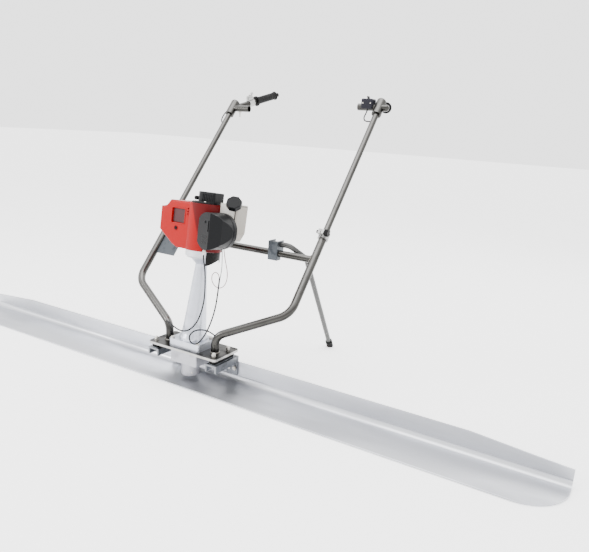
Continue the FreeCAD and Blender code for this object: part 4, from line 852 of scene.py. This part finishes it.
switch_route = [(99, -1, 183.2), (86, -6, 193), (68, -22, 203), (45, -44, 201), (30, -55, 180),
                (44, -60, 158), (70, -58, 160), (87, -52, 183), (101, -46, 211), (113, -39, 248),
                (119, -27, 295), (115, -12, 345), (111, 0, 390)]
cord_piece("switch_cable", switch_route, CABLE, cable_black, "chassis")
green_route = [(112.6, 0.4, 389.2), (114, 5, 412), (109, 13, 436), (103, 20, 458), (99, 24, 481.5)]
cord_piece("green_wire", green_route, WIRE, wire_green, "chassis")
red_route = [(109.5, 0, 389.2), (107, -2, 403), (97, -8, 409), (88, -12, 398), (86, -11, 378),
             (94, -6, 360), (110, 0, 352), (126, 5, 361), (134, 9, 381), (133, 13, 405),
             (124, 17, 430), (114, 20, 455), (106, 23, 489)]
cord_piece("red_wire", red_route, WIRE, wire_red, "chassis")
switch_lead_route = [(329, 634, 935), (315, 632, 934), (301, 636, 938), (294, 646, 950),
                     (296, 658, 965), (301, 662.6, 984.5)]
cord_piece("switch_lead", switch_lead_route, CABLE, cable_black, "right_handle")


# ---- Floor, light and camera
# A plain pale floor under soft studio light: one large lamp overhead, one from the left front
# and a weaker one from behind, with an even white surround.

paper = Finish("floor_paper", Roughness=0.85, Specular_IOR_Level=0.1, Emission_Strength=0.9)
fibre = paper.noise(900, 3)
paper.paint(Base_Color=paper.mix(fibre, (0.93, 0.93, 0.93), (0.96, 0.96, 0.96)),
            Emission_Color=paper.mix(fibre, (0.97, 0.97, 0.97), (1.0, 1.0, 1.0)))
FLOOR_HALF = 30
FLOOR_Z = -0.0008
floor = mesh_piece("floor", [(x * FLOOR_HALF, y * FLOOR_HALF, FLOOR_Z)
                             for x, y in ((-1, -1), (1, -1), (1, 1), (-1, 1))],
                   [(0, 1, 2, 3)], paper.material, smooth=False)

surround = bpy.data.worlds.new("surround")
bpy.context.scene.world = surround
surround.use_nodes = True
sky = surround.node_tree.nodes["Background"]
sky.inputs["Color"].default_value = (1, 1, 1, 1)
sky.inputs["Strength"].default_value = 2.6


def lamp(name, place, target, size, power):
    light = bpy.data.lights.new(name, "AREA")
    light.shape = "RECTANGLE"
    light.size, light.size_y = size
    light.energy = power
    lamp_object = bpy.data.objects.new(name, light)
    bpy.context.scene.collection.objects.link(lamp_object)
    aim = (Vector(target) - Vector(place)).to_track_quat("-Z", "Y")
    lamp_object.matrix_world = Matrix.Translation(place) @ aim.to_matrix().to_4x4()


lamp("overhead", (0.2, -0.4, 3.2), (0, 0.1, 0.3), (3.0, 2.4), 90)
lamp("left_front", (-2.6, -2.4, 1.9), (0, 0, 0.4), (1.2, 1.2), 70)
lamp("behind", (1.4, 3.0, 2.2), (0, 0.3, 0.5), (2.0, 1.4), 30)

AZIMUTH = math.radians(29.3)
PITCH = math.radians(13.8)
ROLL = math.radians(3.9)
CAMERA_PLACE = (1.2608, -1.5410, 0.8815)
level = Vector((math.cos(AZIMUTH), math.sin(AZIMUTH), 0))
forward = Vector((-math.sin(AZIMUTH), math.cos(AZIMUTH), 0))
ahead = math.cos(PITCH) * forward - math.sin(PITCH) * Vector((0, 0, 1))
above = level.cross(ahead)
right = math.cos(ROLL) * level + math.sin(ROLL) * above
up = math.cos(ROLL) * above - math.sin(ROLL) * level
camera_data = bpy.data.cameras.new("camera")
camera_data.sensor_width = 36.0
camera_data.lens = 36.07
camera = bpy.data.objects.new("camera", camera_data)
bpy.context.scene.collection.objects.link(camera)
facing = Matrix((right, up, -ahead)).transposed().to_4x4()
camera.matrix_world = Matrix.Translation(CAMERA_PLACE) @ facing
bpy.context.scene.camera = camera
